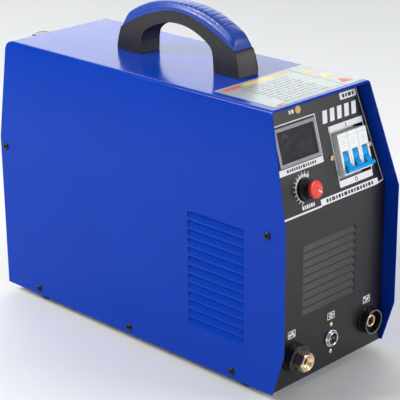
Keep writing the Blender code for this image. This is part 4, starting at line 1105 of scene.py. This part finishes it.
def regulator():
    body = at(CASE, 0, REG_Y, 0)
    bm = bmesh.new()
    half = 0.0200
    add_rounded_box(bm, (-half, -half, 0.2480), (half, half, 0.2930), 0.0035)
    add_turned(bm, [(0, 0.2440), (0.0158, 0.2440), (0.0165, 0.2446), (0.0165, 0.2485), (0, 0.2485)], 72)
    add_turned(bm, [(0.0041, 0.2920), (0.0130, 0.2920), (0.0130, 0.3008), (0.0124, 0.3015), (0.0041, 0.3015),
                    (0.0041, 0.2920)], 64)
    port = Matrix.Translation((0, 0, GAUGE_Z)) @ Matrix.Rotation(math.radians(90), 4, "Y")
    for side in (-1, 1):
        verts = add_turned(bm, [(0, 0.0190 * side), (0.0085, 0.0190 * side), (0.0085, 0.0232 * side),
                                (0.0078, 0.0240 * side), (0, 0.0240 * side)], 56)
        bmesh.ops.transform(bm, matrix=port, verts=verts)
    for side in (-1, 1):
        for k in range(4):
            z = 0.2520 + k * 0.0026
            x = side * 0.0195
            add_rounded_box(bm, (x - 0.0005, -0.0140, z), (x + 0.0005, 0.0140, z + 0.0010), 0.0002)
    piece("regulator_casting", bm, CAST, where=body, degrees=35, stands_for=("regulator_body",),
          slot="cast_grey")
    grip = fluted(30, 0.0007, 0.7, 0.0025, 0.0215, 0.0150)
    turned("pressure_knob_ribbed",
           [(0, 0.0256), (0.0090, 0.0256), (0.0096, 0.0260), (0.0120, 0.0260), (0.0148, 0.0248),
            (0.0156, 0.0222), (0.0159, 0.0120), (0.0160, 0.0034), (0.0158, 0.0028), (0.0160, 0.0022),
            (0.0156, 0.0000), (0.0040, 0.0000), (0.0040, -0.0075), (0, -0.0075)],
           BLACK_GLOSS, 180, 0.0004, grip, body="pressure_knob", where=at(CASE, 0, REG_Y, 0.3042), degrees=40,
           stands_for=("regulator_knob",), slot="black_plastic")
    marks = [arc(0, 0, 0.0058, 0.0066, 40, 140, 16), arc(0, 0, 0.0058, 0.0066, 220, 320, 16),
             oblong(0.0100, -0.0005, 0.0116, 0.0005)]
    printed("pressure_knob_marks", marks, INK_WHITE, at(CASE, 0, REG_Y, 0.3042), lift=0.02580,
            body="pressure_knob", slot="white_plastic")

    turned("drain_button",
           [(0, 0.0100), (0.0022, 0.0100), (0.0025, 0.0096), (0.0025, 0.0000), (0.0044, 0.0000),
            (0.0050, -0.0008), (0.0050, -0.0034), (0.0047, -0.0038), (0.0047, -0.0050), (0.0050, -0.0054),
            (0.0050, -0.0092), (0.0042, -0.0100), (0.0016, -0.0100), (0.0014, -0.0090), (0, -0.0088)],
           BLACK_GLOSS, 56, 0.0003, body="drain_plunger", where=at(CASE, 0, REG_Y, 0.1745),
           stands_for=("drain_valve",), slot="black_plastic")

    gauge = face_frame((0, REG_Y + 0.0203, GAUGE_Z), (0, 1, 0))
    turned("gauge_case",
           [(0, 0.0000), (0.0050, 0.0000), (0.0050, 0.0050), (0.0183, 0.0052), (0.0190, 0.0060),
            (0.0190, 0.0128), (0.0187, 0.0131), (0.0190, 0.0134), (0.0188, 0.0148), (0.0181, 0.0155),
            (0.0175, 0.0155), (0.0172, 0.0150), (0.0172, 0.0085), (0, 0.0085)],
           BLACK_GLOSS, 96, 0.0003, where=gauge, stands_for=("gauge_body",), slot="black_plastic")
    bm = bmesh.new()
    add_plate(bm, ring_points(0, 0, 0.0170, 72), 0.00855, 0.00868)
    piece("gauge_dial", bm, WHITE_MOULD, where=gauge, slot="white_plastic")
    ticks = []
    for k in range(31):
        a = math.radians(225 - 270 * k / 30)
        tip = Vector((math.cos(a), math.sin(a)))
        length, width = (0.0030, 0.0006) if k % 5 == 0 else (0.0016, 0.0003)
        ticks.append(band(tuple(tip * (0.0156 - length)), tuple(tip * 0.0156), width))
    ticks.append(arc(0, 0, 0.0100, 0.0102, -45, 225, 48))
    printed("gauge_ticks", ticks, INK_DARK, gauge, lift=0.00878, slot="black_plastic")
    printed("gauge_green_band", [arc(0, 0, 0.0104, 0.0116, 60, 150, 24)], INK_GREEN, gauge, lift=0.00878,
            slot="cyan_plastic")
    printed("gauge_red_band", [arc(0, 0, 0.0104, 0.0116, -45, 0, 14)], INK_RED, gauge, lift=0.00878,
            slot="red_plastic")

    inlet = face_frame((-0.0243, REG_Y, GAUGE_Z), (-1, 0, 0))
    wrench = six_sided(0.00676, 0.0002, 0.0079, 0.0060)
    turned("air_barb",
           [(0.0026, 0.0000), (0.0074, 0.0000), (0.0078, 0.0004), (0.0078, 0.0074), (0.0074, 0.0078),
            (0.0040, 0.0080), (0.0040, 0.0128), (0.0052, 0.0132), (0.0040, 0.0178), (0.0052, 0.0182),
            (0.0040, 0.0228), (0.0052, 0.0232), (0.0038, 0.0270), (0.0026, 0.0270), (0.0026, 0.0000)],
           BRASS, 72, 0.00012, wrench, where=inlet, degrees=28, stands_for=("air_inlet_barb",), slot="brass")


def add_rounded_box(bm, low, high, radius, segments=3):
    made = bmesh.ops.create_cube(bm, size=1.0)
    low = Vector(low)
    high = Vector(high)
    size = high - low
    scale = Matrix.Diagonal((size.x, size.y, size.z, 1.0))
    bmesh.ops.transform(bm, matrix=Matrix.Translation((low + high) / 2) @ scale, verts=made["verts"])
    edges = {edge for vert in made["verts"] for edge in vert.link_edges}
    bmesh.ops.bevel(bm, geom=list(edges), offset=radius, segments=segments, profile=0.5, affect="EDGES")


def air_hose():
    """The hose as one smooth tube, held by a two-turn spring clip, along the route of the CAD solid."""
    y = REG_Y
    tx, tz = TORCH_AT
    stations = [(0.0243, y, GAUGE_Z), (0.0290, y, GAUGE_Z), (0.0345, y - 0.0015, GAUGE_Z),
                (0.0408, y - 0.010, GAUGE_Z), (0.042, y - 0.035, GAUGE_Z), (0.046, 0.470, 0.262),
                (0.074, 0.430, 0.225), (0.089, 0.380, 0.190), (0.0905, 0.280, 0.172), (0.0905, 0.180, 0.150),
                (0.078, 0.110, 0.112), (0.030, 0.085, 0.082), (-0.030, 0.088, 0.056),
                (tx + 0.008, 0.092, tz + 0.004), (tx, 0.070, tz), (tx, 0.052, tz), (tx, 0.0446, tz)]
    points = []
    padded = [stations[0]] + stations + [stations[-1]]
    for i in range(len(stations) - 1):
        p0, p1, p2, p3 = [Vector(p) for p in padded[i:i + 4]]
        for k in range(10):
            t = k / 10
            points.append(0.5 * ((2 * p1) + (p2 - p0) * t + (2 * p0 - 5 * p1 + 4 * p2 - p3) * t ** 2
                                 + (3 * p1 - p0 - 3 * p2 + p3) * t ** 3))
    points.append(Vector(stations[-1]))
    wire("air_hose_tube", points, 0.0044, HOSE, stands_for=("air_hose",), sides=5)
    clip = face_frame((0.0262, y, GAUGE_Z), (1, 0, 0))
    bm = bmesh.new()
    for height in (0.0, 0.0022):
        add_torus(bm, 0.0050, 0.0005, height, count=48)
    piece("hose_clip_rear", bm, WIRE, where=clip, degrees=60, slot="wire_steel")


fan()
rear_fittings()
regulator()
air_hose()


# ---------------------------------------------------------------- stage, light and camera

def stage():
    bm = bmesh.new()
    bmesh.ops.create_grid(bm, x_segments=1, y_segments=1, size=8.0)
    mesh = bpy.data.meshes.new("floor")
    bm.to_mesh(mesh)
    bm.free()
    floor = placed("floor", mesh)
    floor_mat = Surface("floor_pale", (0.76, 0.76, 0.77), 0.75).mottle(3.0, 0.01).relief(60.0, 0.03, 0.0003)
    mesh.materials.append(floor_mat.gloss(20.0, 0.04).finish())

    world = bpy.data.worlds.new("studio")
    SCENE.world = world
    world.use_nodes = True
    tree = world.node_tree
    back = tree.nodes["Background"]
    back.inputs["Strength"].default_value = 1.0
    coords = tree.nodes.new("ShaderNodeTexCoord")
    aim = tree.nodes.new("ShaderNodeVectorMath")
    aim.operation = "DOT_PRODUCT"
    aim.inputs[1].default_value = Vector((0.70, 0.62, 0.36)).normalized()
    tree.links.new(coords.outputs["Generated"], aim.inputs[0])
    glow = tree.nodes.new("ShaderNodeMapRange")
    glow.interpolation_type = "SMOOTHSTEP"
    glow.inputs["From Min"].default_value = 0.80
    glow.inputs["From Max"].default_value = 0.95
    glow.inputs["To Min"].default_value = 0.0
    glow.inputs["To Max"].default_value = 1.0
    tree.links.new(aim.outputs["Value"], glow.inputs["Value"])
    mix = tree.nodes.new("ShaderNodeMix")
    mix.data_type = "RGBA"
    mix.inputs[6].default_value = (0.26, 0.27, 0.28, 1.0)
    mix.inputs[7].default_value = (2.95, 3.05, 2.95, 1.0)
    tree.links.new(glow.outputs["Result"], mix.inputs["Factor"])
    tree.links.new(mix.outputs[2], back.inputs["Color"])


def area(name, where, target, size, power):
    light = bpy.data.lights.new(name, "AREA")
    light.energy = power
    light.size = size
    obj = placed(name, light)
    obj.location = where
    aim = Vector(target) - Vector(where)
    obj.rotation_mode = "QUATERNION"
    obj.rotation_quaternion = aim.to_track_quat("-Z", "Y")


# Place from the case's front, azimuth, elevation and roll in degrees, and focal length in mm
CAMERA_AT = (-1.2717, -1.0143, 0.8335)
CAMERA_ANGLES = (-45.476, 20.644, -0.575)
CAMERA_LENS = 133.58


def camera():
    azimuth, elevation, roll = (math.radians(angle) for angle in CAMERA_ANGLES)
    back = Vector((math.sin(azimuth) * math.cos(elevation), -math.cos(azimuth) * math.cos(elevation),
                   math.sin(elevation)))
    right = (-back).cross(Vector((0, 0, 1))).normalized()
    up = right.cross(-back)
    turned_right = right * math.cos(roll) + up * math.sin(roll)
    turned_up = up * math.cos(roll) - right * math.sin(roll)
    data = bpy.data.cameras.new("camera")
    data.sensor_width = 36.0
    data.lens = CAMERA_LENS
    turn = Matrix((turned_right, turned_up, back)).transposed().to_4x4()
    SCENE.camera = placed("camera", data, CASE @ Matrix.Translation(CAMERA_AT) @ turn)


stage()
area("key_left", (-2.0, 1.45, 2.2), (0, 0, 0.2), 1.2, 104)
area("top_soft", (0.5, -0.6, 2.6), (0, 0, 0.2), 2.0, 5)
area("front_fill", (1.2, -2.4, 1.1), (0, 0, 0.15), 1.2, 40)
camera()
SCENE.view_settings.view_transform = "Standard"
